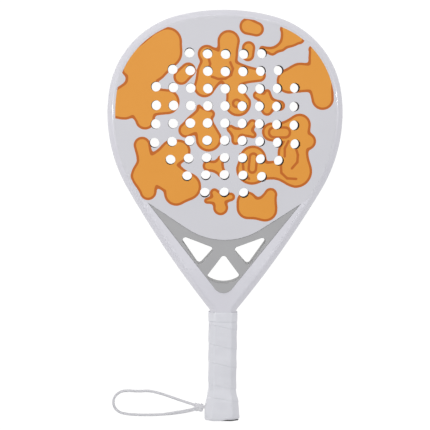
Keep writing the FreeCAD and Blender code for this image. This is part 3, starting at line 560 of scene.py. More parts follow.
neck_end = outline[-1] * (1, 0) + (0, OUTLINE_END)
even = resampled(np.vstack([outline, neck_end]), OUTLINE_STEP)
near_neck = ease(even[:, 1] - NECK_HEIGHT, *NECK_BLEND)[:, None]
rim_line = (softened_line(even, HEAD_SOFTENING, OUTLINE_STEP) * (1 - near_neck)
            + softened_line(even, NECK_SOFTENING, OUTLINE_STEP) * near_neck)
rim_line[0, 0] = 0.0
tangents = np.gradient(rim_line, axis=0)
tangents[0] = (1.0, 0.0)
tangents /= np.hypot(*tangents.T)[:, None]
inwards = np.stack([tangents[:, 1], -tangents[:, 0]], 1)
print("outline: %d even points" % len(rim_line))

# %% Sweep the rounded section round the outline
FACE_SKIM = 0.01
FLAT_LEDGE = 1.0
TAPER_HEIGHT = 166.0
NECK_DEPTH = 28.9
RAMP_CORNER = 0.06


def rounded_chamfer(chamfer, radius, steps):
    """From the flat face to the side wall: how far in from the wall and below the face each point is."""
    reach = radius * math.tan(math.radians(22.5))
    angles = np.radians(np.linspace(0, 45, steps))
    upper = np.stack([chamfer + reach - radius * np.sin(angles), radius - radius * np.cos(angles)], 1)
    lower = upper[::-1, ::-1]
    return np.vstack([[chamfer + reach + FLAT_LEDGE, 0.0], upper, lower])


def ease_line(value, start, end):
    """A straight ramp from 0 to 1 with its two corners rounded."""
    share = (value - start) / (end - start)
    rising = np.logaddexp(0, share / RAMP_CORNER) * RAMP_CORNER
    return rising - np.logaddexp(0, (share - 1) / RAMP_CORNER) * RAMP_CORNER


def half_depth(height):
    """Half the racket's depth, which tapers from the throat to the neck."""
    neck = NECK_DEPTH / 2
    return neck + (MIDDLE_Z - neck) * ease_line(height, NECK_HEIGHT, TAPER_HEIGHT)


skims = np.array([[WALL_SKIM], [FACE_SKIM]])
section_in, section_down = rounded_chamfer(RIM_CHAMFER, EDGE_ROUND, 7).T + skims
across = np.concatenate([section_in, section_in[::-1]])
spots = rim_line[:, None, :] + inwards[:, None, :] * across[None, :, None]
face_up = np.where(np.arange(len(across)) < len(section_in), 1.0, -1.0)
drops = np.concatenate([section_down, section_down[::-1]])
rises = face_up * (half_depth(spots[:, :, 1]) - drops)
right_side = np.dstack([spots, rises + MIDDLE_Z])
left_side = right_side[:0:-1] * (-1, 1, 1)
round_outline = np.vstack([left_side, right_side])
rings, around = round_outline.shape[:2]
print("envelope section: %d points" % around)


# %% Close the envelope
def swept_faces(rings, around):
    """Faces between rings that aren't closed, in the order of a grid."""
    return [(r * around + a, r * around + a + 1, (r + 1) * around + a + 1, (r + 1) * around + a)
            for r in range(rings - 1) for a in range(around - 1)]


envelope_faces = swept_faces(rings, around)
for edge in (0, around - 1):
    for r in range(rings // 2):
        left = (r * around + edge, (r + 1) * around + edge)
        right = ((rings - 2 - r) * around + edge, (rings - 1 - r) * around + edge)
        if left[1] == right[0]:
            envelope_faces.append((left[0], left[1], right[1]))
        else:
            envelope_faces.append((left[0], left[1], right[0], right[1]))
last_ring = [(rings - 1) * around + a for a in range(around)]
envelope_faces.append(tuple(range(around)) + tuple(last_ring[::-1]))
envelope_points = [place(*spot) for spot in round_outline.reshape(-1, 3)]
envelope = new_piece("soft_envelope", mesh_of("soft_envelope", envelope_points, envelope_faces))
print("envelope: %d rings, %d faces" % (rings, len(envelope.data.polygons)))

# %% [markdown]
# ## The lacquered frame
# The tube of the frame is carbon and glass cloth cured in a mould, filled, sanded and sprayed white with a
# faint lilac cast, under a clear coat. So the finish is a satin base with a coat over it, a trace of
# orange peel in the coat, and cloth that shows through only as the slightest unevenness.

# %% Pearl white two-coat lacquer: soft gloss, faint orange peel
PEEL_PER_MM = 0.7
LACQUER_CLOUDS_PER_MM = 0.018
frame_lacquer, lacquer_tree, lacquer_shader = new_finish("pearl_white_lacquer", "#D6D4DB", {
    "Roughness": 0.42, "IOR": 1.5, "Coat Weight": 0.6, "Coat Roughness": 0.12, "Coat IOR": 1.5})
lacquer_place = add(lacquer_tree, "ShaderNodeTexCoord").outputs["Object"]
peel = add(lacquer_tree, "ShaderNodeTexNoise", {"Vector": lacquer_place, "Scale": PEEL_PER_MM / MM,
           "Detail": 2.0})
clouds = add(lacquer_tree, "ShaderNodeTexNoise", {
    "Vector": lacquer_place, "Scale": LACQUER_CLOUDS_PER_MM / MM, "Detail": 3.0})
peel_bump = tone_and_bump(lacquer_tree, lacquer_shader, clouds.outputs["Fac"], "#D3D1D8", "#DDDCE1",
                          peel.outputs["Fac"], 0.12, 0.1)
lacquer_tree.links.new(peel_bump.outputs["Normal"], lacquer_shader.inputs["Coat Normal"])
print("orange peel: %.1f mm across" % (1 / PEEL_PER_MM))


# %% Round the frame
def cut_to(piece, body, operation):
    """Keeps a piece's part inside another closed body, or takes that body out of it."""
    cut = piece.modifiers.new(operation.lower(), "BOOLEAN")
    cut.object = body
    cut.operation = operation
    cut.solver = "MANIFOLD"
    return freeze(piece)


lacquered_frame = new_piece("lacquered_frame", merged_copy("frame_tube"))
cut_to(lacquered_frame, envelope, "INTERSECT")
smooth(lacquered_frame, 35)
hand_over(lacquered_frame, frame_lacquer, "frame_lacquer", "frame_tube")

# %% [markdown]
# ## Holes through the face
# Every padel racket is drilled so that air passes through. The holes stand in nine rows of 5, 7, 9, 9, 9,
# 9, 7, 5 and 3 that open slightly towards the sides. A rule places them, so Geometry Nodes do the
# drilling: a 9 by 9 grid loses its corners, each point moves to its spot, a drill stands on each, and one
# boolean cuts them all.

# %% The drill
HOLE_RADIUS = 5.4
HOLE_EDGE_BREAK = 0.25
HOLE_PITCH = 19.0
HOLE_SPREAD = 0.0053
HOLE_CENTRE_HEIGHT = 349.0
DRILL_SIDES = 48
DRILL_OVERSHOOT = 2.0


def lathe(name, profile, sides):
    """A closed turned body about the z axis, from radius and height pairs that start and end on the axis."""
    points = [Vector((0, 0, profile[0][1] * MM))]
    for radius, z in profile[1:-1]:
        points += [Vector((radius * math.cos(a), radius * math.sin(a), z)) * MM
                   for a in (math.tau * k / sides for k in range(sides))]
    points.append(Vector((0, 0, profile[-1][1] * MM)))
    top = len(points) - 1
    faces = [(0, 1 + k, 1 + (k + 1) % sides) for k in range(sides)]
    for r in range(len(profile) - 3):
        low = 1 + r * sides
        faces += [(low + k, low + (k + 1) % sides, low + sides + (k + 1) % sides, low + sides + k)
                  for k in range(sides)]
    faces += [(top, top - sides + k, top - sides + (k + 1) % sides) for k in range(sides)]
    return new_piece(name, mesh_of(name, points, faces))


flare = HOLE_RADIUS + HOLE_EDGE_BREAK + DRILL_OVERSHOOT
drill_top = RACKET_DEPTH + DRILL_OVERSHOOT
drill = lathe("drill", [
    (0, -DRILL_OVERSHOOT), (flare, -DRILL_OVERSHOOT), (HOLE_RADIUS, HOLE_EDGE_BREAK),
    (HOLE_RADIUS, RACKET_DEPTH - HOLE_EDGE_BREAK), (flare, drill_top), (0, drill_top)], DRILL_SIDES)
print("drill: %.1f mm wide" % (2 * HOLE_RADIUS))

# %% An even plate, trimmed to the part and to the envelope
PLATE_SPAN = 270.0
PLATE_CENTRE_Y = 105.0

drill_tree, drill_inputs = tree_with("drilled_plate", {
    "Envelope": "Object", "Drill": "Object", "Cell": "Float", "Low": "Float", "High": "Float",
    "Pitch": "Float", "Spread": "Float", "Centre": "Float"})
low_side, high_side = drill_inputs["Low"], drill_inputs["High"]
plate_thickness = add(drill_tree, "ShaderNodeMath", {0: high_side, 1: low_side}, operation="SUBTRACT")
twice_middle = add(drill_tree, "ShaderNodeMath", {0: high_side, 1: low_side}, operation="ADD")
plate_middle = add(drill_tree, "ShaderNodeMath", {0: twice_middle.outputs[0], 1: 0.5}, operation="MULTIPLY")
cells = add(drill_tree, "ShaderNodeMath", {0: PLATE_SPAN * MM, 1: drill_inputs["Cell"]}, operation="DIVIDE")
plate_size = add(drill_tree, "ShaderNodeCombineXYZ", {
    "X": PLATE_SPAN * MM, "Y": PLATE_SPAN * MM, "Z": plate_thickness.outputs[0]})
plate_shift = add(drill_tree, "ShaderNodeCombineXYZ", {
    "X": 0.0, "Y": PLATE_CENTRE_Y * MM, "Z": plate_middle.outputs[0]})
plate = add(drill_tree, "GeometryNodeMeshCube", {
    "Size": plate_size.outputs[0], "Vertices X": cells.outputs[0], "Vertices Y": cells.outputs[0],
    "Vertices Z": 2})
plate_placed = add(drill_tree, "GeometryNodeTransform", {
    "Geometry": plate.outputs[0], "Translation": plate_shift.outputs[0]})
envelope_body = add(drill_tree, "GeometryNodeObjectInfo", {"Object": drill_inputs["Envelope"]})
trimmed = add(drill_tree, "GeometryNodeMeshBoolean", {"Mesh 2": plate_placed.outputs[0]},
              operation="INTERSECT", solver="MANIFOLD")
drill_tree.links.new(envelope_body.outputs["Geometry"], trimmed.inputs["Mesh 2"])
drill_tree.links.new(drill_inputs["Geometry"], trimmed.inputs["Mesh 2"])
print("plate tree: %d nodes" % len(drill_tree.nodes))

# %% The spots of the holes, as steps from the hole in the middle of the second of the four widest rows
GRID_ROWS = 9
WIDEST_ROW_REACH = 4.0
ROW_REACH_AT_MIDDLE = 5.5
MIDDLE_ROW = 0.5
COLUMN_MARGIN = 0.25

spots_grid = add(drill_tree, "GeometryNodeMeshGrid", {
    "Size X": GRID_ROWS - 1.0, "Size Y": GRID_ROWS - 1.0, "Vertices X": GRID_ROWS, "Vertices Y": GRID_ROWS})
spot = add(drill_tree, "ShaderNodeSeparateXYZ", {0: add(drill_tree, "GeometryNodeInputPosition").outputs[0]})
column = spot.outputs["X"]
row_down = add(drill_tree, "ShaderNodeMath", {0: 1.0, 1: spot.outputs["Y"]}, operation="SUBTRACT").outputs[0]
from_middle = add(drill_tree, "ShaderNodeMath", {0: row_down, 1: MIDDLE_ROW}, operation="SUBTRACT")
rows_away = add(drill_tree, "ShaderNodeMath", {0: from_middle.outputs[0]}, operation="ABSOLUTE")
shrinking = add(drill_tree, "ShaderNodeMath", {0: ROW_REACH_AT_MIDDLE, 1: rows_away.outputs[0]},
                operation="SUBTRACT")
row_reach = add(drill_tree, "ShaderNodeMath", {0: WIDEST_ROW_REACH, 1: shrinking.outputs[0]},
                operation="MINIMUM")
columns_away = add(drill_tree, "ShaderNodeMath", {0: column}, operation="ABSOLUTE")
last_column = add(drill_tree, "ShaderNodeMath", {0: row_reach.outputs[0], 1: COLUMN_MARGIN}, operation="ADD")
too_far = add(drill_tree, "FunctionNodeCompare", {0: columns_away.outputs[0], 1: last_column.outputs[0]},
              data_type="FLOAT", operation="GREATER_THAN")
kept_spots = add(drill_tree, "GeometryNodeDeleteGeometry", {
    "Geometry": spots_grid.outputs[0], "Selection": too_far.outputs[0]}, domain="POINT")


def spread_out(steps, other_steps):
    """A spot's place along one axis: its steps, which open with the square of its steps along the other."""
    squared = add(drill_tree, "ShaderNodeMath", {0: other_steps, 1: other_steps}, operation="MULTIPLY")
    widening = add(drill_tree, "ShaderNodeMath", {
        0: squared.outputs[0], 1: drill_inputs["Spread"], 2: 1.0}, operation="MULTIPLY_ADD")
    opened = add(drill_tree, "ShaderNodeMath", {0: steps, 1: widening.outputs[0]}, operation="MULTIPLY")
    return add(drill_tree, "ShaderNodeMath", {0: opened.outputs[0], 1: drill_inputs["Pitch"]},
               operation="MULTIPLY").outputs[0]


hole_height = add(drill_tree, "ShaderNodeMath", {
    0: drill_inputs["Centre"], 1: spread_out(row_down, column)}, operation="SUBTRACT")
hole_place = add(drill_tree, "ShaderNodeCombineXYZ", {
    "X": spread_out(column, row_down), "Y": hole_height.outputs[0], "Z": 0.0})
hole_spots = add(drill_tree, "GeometryNodeSetPosition", {
    "Geometry": kept_spots.outputs[0], "Position": hole_place.outputs[0]})
drill_body = add(drill_tree, "GeometryNodeObjectInfo", {"Object": drill_inputs["Drill"]})
drills = add(drill_tree, "GeometryNodeInstanceOnPoints", {
    "Points": hole_spots.outputs[0], "Instance": drill_body.outputs["Geometry"]})
all_drills = add(drill_tree, "GeometryNodeRealizeInstances", {"Geometry": drills.outputs[0]})
drilled = add(drill_tree, "GeometryNodeMeshBoolean", {
    "Mesh 1": trimmed.outputs[0], "Mesh 2": all_drills.outputs[0]},
    operation="DIFFERENCE", solver="MANIFOLD")
close_tree(drill_tree, drilled.outputs[0], frame_lacquer)
print("drilling tree: %d nodes" % len(drill_tree.nodes))

# %% Drill the faces and the core
PLATE_SKIM = 0.02


def drilled_plate(name, part, cell):
    """A part of the face with all its holes, cut from an even mesh between its two sides."""
    low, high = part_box(part)
    piece = new_piece(name, merged_copy(part))
    run_tree(piece, drill_tree, {
        "Envelope": envelope, "Drill": drill, "Cell": cell * MM,
        "Low": low.z + PLATE_SKIM * MM, "High": high.z - PLATE_SKIM * MM,
        "Pitch": HOLE_PITCH * MM, "Spread": HOLE_SPREAD, "Centre": place(0, HOLE_CENTRE_HEIGHT, 0).y})
    smooth(piece)
    return piece


front_face = drilled_plate("front_face", "front_skin", cell=1.2)
back_face = drilled_plate("back_face", "back_skin", cell=1.7)
foam_core = drilled_plate("foam_core", "core", cell=20.0)
print("front face: %d vertices" % len(front_face.data.vertices))

# %% [markdown]
# ## The face's print
# The faces are glass cloth with a film print under clear resin: free-form orange shapes with a darker edge
# on light grey, trimmed a little inside the rim. A shape like this is a few fat brush strokes that melt
# together, so each blob is a short list of strokes, and a smooth maximum of how deep a point is in each is
# its depth in the blob. Each vertex of the fine mesh keeps that depth, and the shader turns it into ink
# and outline.

# %% Ink shapes as strokes: each point has an x, a height and a half width in millimetres
BLOBS = [
    [[(-64, 419, 15.5), (-65, 407, 16), (-80, 392, 17)], [(-73, 417, 13), (-92, 396, 17), (-107, 388, 7)],
     [(-92, 388, 17), (-92, 366, 17), (-112, 351, 17), (-122, 349, 14)], [(-92, 352, 17), (-88, 333, 10.5)],
     [(-90, 353, 16), (-64, 353, 13.5)]],
    [[(-48.5, 380.5, 7.5), (-41, 388, 7)]],
    [[(3, 420, 12), (2, 404, 10), (-2, 392, 14)],
     [(-21, 406, 9.5), (-14, 400, 11), (-16, 386, 14.5), (-23, 370, 11.5)],
     [(-2, 390, 13), (14, 384, 11), (37, 383, 7)], [(4, 383, 11), (9, 368, 7.5), (14, 352, 14)]],
    [[(24, 436.5, 8), (33.5, 433.5, 6.8)]],
    [[(25, 413, 6), (24.5, 405, 5.5)]],
    [[(64, 434, 4.5), (71, 424.5, 9), (81, 423, 5)],
     [(70, 424, 8), (61, 414.5, 4), (51, 409.5, 3.5), (40, 412, 3)]],
    [[(95, 412, 4), (100, 402, 8), (104, 385, 14)], [(70, 377, 13.5), (82, 381, 15), (104, 381, 15)],
     [(104, 381, 14), (107, 358, 12)]],
    [[(35, 361, 4.5), (44, 357, 5), (46, 345, 6)], [(46, 364, 3.5), (46, 352, 6.5)],
     [(46, 352, 6.5), (60, 350, 5.5)]],
    [[(-43, 322, 8), (-33, 329, 9.5), (-25, 336, 9), (-16, 340, 4.5)], [(-25, 334, 9), (-18, 313, 14)],
     [(-26, 342, 4), (-29, 348, 2)]],
    [[(6, 324, 4), (12, 319, 4), (12, 311, 4.5)], [(12, 320, 4), (24, 322, 4.5), (30, 330, 4.5)],
     [(24, 321, 4.5), (31, 317.5, 3.5)]],
    [[(82, 329, 11), (62, 320, 10), (51, 321, 10)], [(82, 329, 11), (80, 312, 12), (91, 311, 9)],
     [(80, 312, 12), (75, 298, 15.5), (78, 278, 17), (55, 279, 9), (40, 278, 10)],
     [(31, 291, 14.5), (30, 280, 17)]],
    [[(-91, 305, 9), (-87, 288, 8), (-87, 272, 15), (-84, 254, 9)], [(-80, 280, 13), (-70, 285, 13.5),
     (-57, 297, 13.5), (-50, 299, 12)], [(-80, 278, 14), (-60, 270, 15.5), (-41, 260, 14), (-53, 252, 13)]],
    [[(-18, 283, 6), (-8, 282, 5), (-4, 291, 3.5)], [(-8, 282, 5), (-3, 275, 4.5)]],
    [[(-11, 253.5, 4.5), (-6, 247, 5.5), (-4, 237, 8)], [(-19, 244.5, 3), (-6, 246.5, 5), (7, 249, 4.5)]],
    [[(25, 244, 11), (26, 237, 11), (45, 236, 12.5), (51, 252, 7)]]]
LINES = [
    [[(12.5, 352, 4)]],
    [[(54, 320.5, 5.5), (66, 320.5, 5.5)]],
    [[(31.5, 293, 4), (30.5, 280, 4)]],
    [[(-20, 406, 0), (-17, 395, 0), (-18, 391, 0)]],
    [[(-15, 381, 0), (-8, 378.5, 0), (0, 379, 0), (6, 383, 0), (8, 390, 0), (5, 397, 0)]],
    [[(17, 296, 0), (20, 286, 0), (21, 277, 0), (27, 269, 0)]],
    [[(70, 311, 0), (66, 303, 0), (66, 294, 0)]],
    [[(78, 304, 0), (80.5, 296, 0), (80, 288, 0), (74, 281, 0)]],
    [[(62, 284, 0), (62.5, 276, 0), (69, 270, 0), (79, 269.5, 0)]]]
STROKE_MELT = 1.5
MELT_SWELL = 1.0
LINE_MELT = 0.2
PRINT_MARGIN = 9.0
print("%d ink shapes and %d inner lines" % (len(BLOBS), len(LINES)))


# %% Measure the ink on the faces
def depth_in(strokes, points, melt, swell):
    """How far inside strokes that melt together points are, in millimetres: negative outside."""
    depths = []
    for stroke in strokes:
        for start, end in list(zip(stroke, stroke[1:])) or [(stroke[0], stroke[0])]:
            start, end = np.array(start), np.array(end)
            run = end[:2] - start[:2]
            share = np.clip((points - start[:2]) @ run / max(run @ run, 1e-9), 0.0, 1.0)[:, None]
            nearest = start + (end - start) * share
            depths.append(nearest[:, 2] - np.hypot(*(points - nearest[:, :2]).T))
    melted = melt * np.logaddexp.reduce(np.array(depths) / melt, axis=0)
    return melted - (swell if len(depths) > 1 else 0.0)


def rim_distance(points):
    """How far points of the face are from the racket's outer edge, in millimetres."""
    tree = search_tree([(x, height, 0.0) for x, height in rim_line])
    return np.array([tree.find((abs(x), height, 0.0))[2] for x, height in points])


def print_on(mesh, handed):
    """Stores on each vertex how deep it is in ink, in an inner ring, and how far from the rim."""
    places = np.array([v.co for v in mesh.vertices])
    flat = np.stack([handed * places[:, 0], places[:, 1] - BUTT_END], 1) / MM
    ink = np.max([depth_in(blob, flat, STROKE_MELT, MELT_SWELL) for blob in BLOBS], axis=0)
    ring = np.max([depth_in(line, flat, LINE_MELT, 0.0) for line in LINES], axis=0)
    store(mesh, "ink_depth", ink)
    store(mesh, "ring_depth", ring)
    store(mesh, "rim_distance", rim_distance(flat))
    print("ink covers %d%% of the vertices" % round(100 * np.mean(ink > 0)))


print_on(front_face.data, 1)
print_on(back_face.data, -1)

# %% Printed film under clear resin: soft gloss, with the cloth's weave just showing
OUTLINE_HALF = 1.4
INK_EDGE = 0.15
TINT_SIZE = 40.0
CLOTH_THREAD = 1.6
face_print, print_tree, print_shader = new_finish("printed_glass_cloth", "#D5D5D9", {
    "Roughness": 0.5, "IOR": 1.5, "Specular IOR Level": 0.2, "Coat Weight": 0.06, "Coat Roughness": 0.25})
ink_depth, ring_depth, rim_gap = [add(print_tree, "ShaderNodeAttribute", attribute_name=name).outputs["Fac"]
                                  for name in ("ink_depth", "ring_depth", "rim_distance")]
inked = add(print_tree, "ShaderNodeMapRange", {
    "Value": ink_depth, "From Min": -INK_EDGE, "From Max": INK_EDGE})
edge_gap = add(print_tree, "ShaderNodeMath", {0: ink_depth}, operation="ABSOLUTE")
ring_gap = add(print_tree, "ShaderNodeMath", {0: ring_depth}, operation="ABSOLUTE")
line_gap = add(print_tree, "ShaderNodeMath", {0: edge_gap.outputs[0], 1: ring_gap.outputs[0]},
               operation="MINIMUM")
lined = add(print_tree, "ShaderNodeMapRange", {
    "Value": line_gap.outputs[0], "From Min": OUTLINE_HALF + INK_EDGE,
    "From Max": OUTLINE_HALF - INK_EDGE})
trimmed_print = add(print_tree, "ShaderNodeMapRange", {
    "Value": rim_gap, "From Min": PRINT_MARGIN - INK_EDGE, "From Max": PRINT_MARGIN + INK_EDGE})
ink_share = add(print_tree, "ShaderNodeMath", {0: inked.outputs[0], 1: lined.outputs[0]},
                operation="MAXIMUM")
print_share = add(print_tree, "ShaderNodeMath", {0: ink_share.outputs[0], 1: trimmed_print.outputs[0]},
                  operation="MULTIPLY")
print_place = add(print_tree, "ShaderNodeTexCoord").outputs["Object"]
tint = add(print_tree, "ShaderNodeTexNoise", {"Vector": print_place, "Scale": 1 / (TINT_SIZE * MM),
           "Detail": 4.0})
ground = add(print_tree, "ShaderNodeMix", {0: tint.outputs["Fac"], 6: linear("#D0CFD3"),
             7: linear("#D5D4D8")}, data_type="RGBA")
orange = add(print_tree, "ShaderNodeMix", {0: tint.outputs["Fac"], 6: linear("#E39630"),
             7: linear("#E79C38")}, data_type="RGBA")
inks = add(print_tree, "ShaderNodeMix", {0: lined.outputs[0], 6: orange.outputs[2], 7: linear("#C36400")},
           data_type="RGBA")
face_colour = add(print_tree, "ShaderNodeMix", {0: print_share.outputs[0], 6: ground.outputs[2],
                  7: inks.outputs[2]}, data_type="RGBA")
# At scale 1 a wave texture repeats at every tenth of pi
warp, weft = [add(print_tree, "ShaderNodeTexWave", {
    "Vector": print_place, "Scale": math.pi / 10 / (CLOTH_THREAD * MM), "Distortion": 0.4, "Detail": 1.0},
    bands_direction=axis) for axis in "XY"]
cloth = add(print_tree, "ShaderNodeMath", {0: warp.outputs["Fac"], 1: weft.outputs["Fac"]},
            operation="MAXIMUM")
cloth_bump = add(print_tree, "ShaderNodeBump", {"Strength": 0.08, "Distance": 0.1 * MM,
                 "Height": cloth.outputs[0]})
print_tree.links.new(face_colour.outputs[2], print_shader.inputs["Base Color"])
print_tree.links.new(cloth_bump.outputs["Normal"], print_shader.inputs["Normal"])
hand_over(front_face, face_print, "face_laminate", "front_skin")
hand_over(back_face, face_print, "face_laminate", "back_skin")

# %% [markdown]
# ## The foam core
# Between the faces is black EVA foam, cut from a sheet and drilled with the faces. It is only seen inside
# the holes, as dark walls with the small open bubbles of cut foam, so a dark matt finish with bubble pits
# is enough.

# %% Black EVA foam: dry, matt, with cut bubbles
BUBBLE = 0.6
core_foam, foam_tree, foam_shader = new_finish("black_eva_foam", "#26262C", {
    "Roughness": 0.9, "IOR": 1.45, "Specular IOR Level": 0.2})
foam_place = add(foam_tree, "ShaderNodeTexCoord").outputs["Object"]
bubbles = add(foam_tree, "ShaderNodeTexVoronoi", {"Vector": foam_place, "Scale": 1 / (BUBBLE * MM)})
# The bubbles' pits are painted darker than the foam between them: painted shade in the pits.
tone_and_bump(foam_tree, foam_shader, bubbles.outputs["Distance"], "#17171B", "#2E2E34",
              bubbles.outputs["Distance"], 0.5, 0.15)
hand_over(foam_core, core_foam, "core_foam", "core")
bpy.data.objects.remove(drill)

# %% [markdown]
# ## The throat bridge and its filler
# The bridge closes the throat with three windows, in mid grey satin lacquer. Its shape in the engineering
# model is right but its edges are knife sharp, so a merged copy gets a narrow bevel that catches the
# light. The foam inside it and the two foam shells of the handle never show, and keep their engineering
# meshes.

# %% Mid grey satin lacquer
BRIDGE_EDGE = 0.5
GREY_CLOUD_SIZE = 25.0
GREY_PEEL_PER_MM = 0.9
bridge_lacquer, bridge_tree, bridge_shader = new_finish("grey_satin_lacquer", "#A4A4A4", {
    "Roughness": 0.5, "IOR": 1.5, "Coat Weight": 0.2, "Coat Roughness": 0.3})
bridge_place = add(bridge_tree, "ShaderNodeTexCoord").outputs["Object"]
grey_clouds = add(bridge_tree, "ShaderNodeTexNoise", {
    "Vector": bridge_place, "Scale": 1 / (GREY_CLOUD_SIZE * MM), "Detail": 4.0})
grey_peel = add(bridge_tree, "ShaderNodeTexNoise", {"Vector": bridge_place, "Scale": GREY_PEEL_PER_MM / MM,
                "Detail": 2.0})
tone_and_bump(bridge_tree, bridge_shader, grey_clouds.outputs["Fac"], "#A09F9F", "#A8A8A8",
              grey_peel.outputs["Fac"], 0.15, 0.1)
print("grey orange peel: %.1f mm across" % (1 / GREY_PEEL_PER_MM))

# %% Bevel the bridge
bridge = new_piece("lacquered_bridge", merged_copy("throat_bridge", in_triangles=False))
bridge_bevel = bridge.modifiers.new("edge", "BEVEL")
bridge_bevel.width = BRIDGE_EDGE * MM
bridge_bevel.segments = 3
bridge_bevel.limit_method = "ANGLE"
bridge_bevel.angle_limit = math.radians(60)
bridge_bevel.use_clamp_overlap = False
freeze(bridge)
smooth(bridge, 40)
hand_over(bridge, bridge_lacquer, "bridge_lacquer", "throat_bridge")

# %% Cream filler foam, for the parts inside
PORE = 1.2
filler_foam, filler_tree, filler_shader = new_finish("cream_filler_foam", "#D8CFB8", {
    "Roughness": 0.95, "IOR": 1.45, "Specular IOR Level": 0.2})
filler_place = add(filler_tree, "ShaderNodeTexCoord").outputs["Object"]
pores = add(filler_tree, "ShaderNodeTexVoronoi", {"Vector": filler_place, "Scale": 1 / (PORE * MM)})
# The pores are painted darker than the cell walls between them: painted shade in the pores, with no relief
# under it.
pore_painted_shade = add(filler_tree, "ShaderNodeMix", {0: pores.outputs["Distance"], 6: linear("#B8AD92"),
                7: linear("#E2DAC5")}, data_type="RGBA")
filler_tree.links.new(pore_painted_shade.outputs[2], filler_shader.inputs["Base Color"])
for part in ("bridge_foam", "handle_pallet_front", "handle_pallet_back"):
    paint_part(part, filler_foam)
print("filler foam on the parts inside")

# %% [markdown]
# ## The butt cap
# The cap is black nylon, moulded in one shot, and only its end shows under the grip. Its mesh stays: the
# rounded end is already right. Spark-eroded moulds leave a fine even grain, which is what makes it look
# matt.

# %% Black moulded nylon: fine spark grain
GRAIN_PER_MM = 1.8
cap_plastic, cap_tree, cap_shader = new_finish("black_moulded_nylon", "#1B1B1E", {
    "Roughness": 0.5, "IOR": 1.53})
cap_place = add(cap_tree, "ShaderNodeTexCoord").outputs["Object"]
grain = add(cap_tree, "ShaderNodeTexNoise", {"Vector": cap_place, "Scale": GRAIN_PER_MM / MM, "Detail": 3.0})
# The grain's pits are painted darker than its tops: painted shade in the grain.
tone_and_bump(cap_tree, cap_shader, grain.outputs["Fac"], "#151517", "#252529",
              grain.outputs["Fac"], 0.3, 0.08)
paint_part("butt_cap", cap_plastic)
print("cap in", cap_plastic.name)

# %% [markdown]
# ## The wound grip
# The handle is wound from the butt upwards with a cushioned strip of synthetic leather. Each turn lies
# over the edge of the one below, so the grip has shallow slanting steps where a turn ends. The shape
# follows a rule, so it is made ring by ring: an octagon with soft corners, read from the engineering part
# at a few heights, that swells a little wherever two turns overlap. At the butt the strip's start hangs
# over the cap's flange on the left and in the middle, so the black cap shows only at the right.

# %% Read the octagon of the handle
RING_POINTS = 176
CORNER_SOFTENING = 1.0
CORNER_REACH = 12
ON_THE_RING = 1.0


def octagon_at(shape, height, outer):
    """Half width, half depth and corner cut of a part's octagon at a height, in millimetres."""
    cut = shape.copy()
    everything = cut.verts[:] + cut.edges[:] + cut.faces[:]
    found = bmesh.ops.bisect_plane(cut, geom=everything, plane_co=place(0, height, 0), plane_no=(0, 1, 0),
                                   clear_inner=True, clear_outer=True)["geom_cut"]
    spots = np.array([(abs(g.co.x), abs(g.co.z - MIDDLE_Z * MM)) for g in found
                      if isinstance(g, bmesh.types.BMVert)]) / MM
    cut.free()
    sums = spots.sum(1)
    ring = spots[sums > sums.max() - ON_THE_RING] if outer else spots[sums < sums.min() + ON_THE_RING]
    return ring[:, 0].max(), ring[:, 1].max(), ring[:, 0].max() - ring[:, 0].min()


def octagon_ring(half_width, half_depth, corner):
    """A closed ring of points on an octagon with soft corners, and each one's outward direction."""
    x, z = half_width, half_depth
    quarter = [(x, 0.0), (x, z - corner), (x - corner, z), (0.0, z)]
    upper = quarter + [(-a, b) for a, b in quarter[-2::-1]]
    corners = np.array(upper + [(a, -b) for a, b in upper[-2::-1]])
    lengths = reached_along(corners)
    at = np.linspace(0, lengths[-1], RING_POINTS, endpoint=False)
    ring = np.stack([np.interp(at, lengths, corners[:, k]) for k in (0, 1)], 1)
    padded = np.concatenate([ring[-CORNER_REACH:], ring, ring[:CORNER_REACH]])
    ring = bell_mean(padded, CORNER_REACH, lengths[-1] / RING_POINTS, CORNER_SOFTENING)
    along = np.roll(ring, -1, axis=0) - np.roll(ring, 1, axis=0)
    along /= np.hypot(*along.T)[:, None]
    return ring, np.stack([along[:, 1], -along[:, 0]], 1)


grip_shape = bmesh.new()
grip_shape.from_mesh(merged_copy("base_grip", in_triangles=False))
grip_bottom = (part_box("base_grip")[0].y - BUTT_END) / MM
tape_low = (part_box("grip_finishing_tape")[0].y - BUTT_END) / MM
tape_high = top_of("grip_finishing_tape")
station_heights = np.array([grip_bottom + 0.1, 3.2, 5.5, 7.4, 10.0, 17.0, 20.5, 23.5, 27.0, 34.0, 47.0, 80.0,
                            NECK_HEIGHT - 0.1])
outer_octagons = np.array([octagon_at(grip_shape, h, True) for h in station_heights])
inner_octagons = np.array([octagon_at(grip_shape, h, False) for h in station_heights])
grip_shape.free()
print("handle is %.1f by %.1f mm at the top" % tuple(2 * outer_octagons[-1, :2]))
print("handle is %.1f by %.1f mm at the butt" % tuple(2 * outer_octagons[3, :2]))

# %% How the strip swells round the handle
SEAM_HEIGHTS = [-21.0, 1.0, 24.0, 37.0, 62.0, 82.0, 104.0, 127.0]
SEAM_START = 0.25
OVERLAP = 0.24
FADE = 0.3
STEP_SHARE = 0.045
STEP_HEIGHT = 0.38
GROOVE_DEPTH = 0.08
STRIP_SINK = 0.2
RING_STEP = 0.4
LIP_OVERHANG = 0.45
LIP_DROP = 1.35
LIP_SIDE = (-6.0, 2.0)
LIP_HEIGHT = 4.0
BUTT_STRETCH = (1.0, 6.0)
BUTT_EDGE_ROUND = 0.25
BUTT_EDGE_HEIGHT = 0.8
TOP_EDGE_ROUND = 0.7
TOP_EDGE_HEIGHT = 1.0
TAPE_STRETCH = (4.0, 1.0)
TAPE_SQUEEZE = 0.15
FLANGE_GAP = 0.08


def turn_share(height, angle):
    """Where in a turn of the strip a point is: 0 at the turn's lower edge, 1 at the next one's."""
    turns_up = np.interp(height, SEAM_HEIGHTS, np.arange(len(SEAM_HEIGHTS)))
    return (turns_up - angle / math.tau + SEAM_START) % 1.0


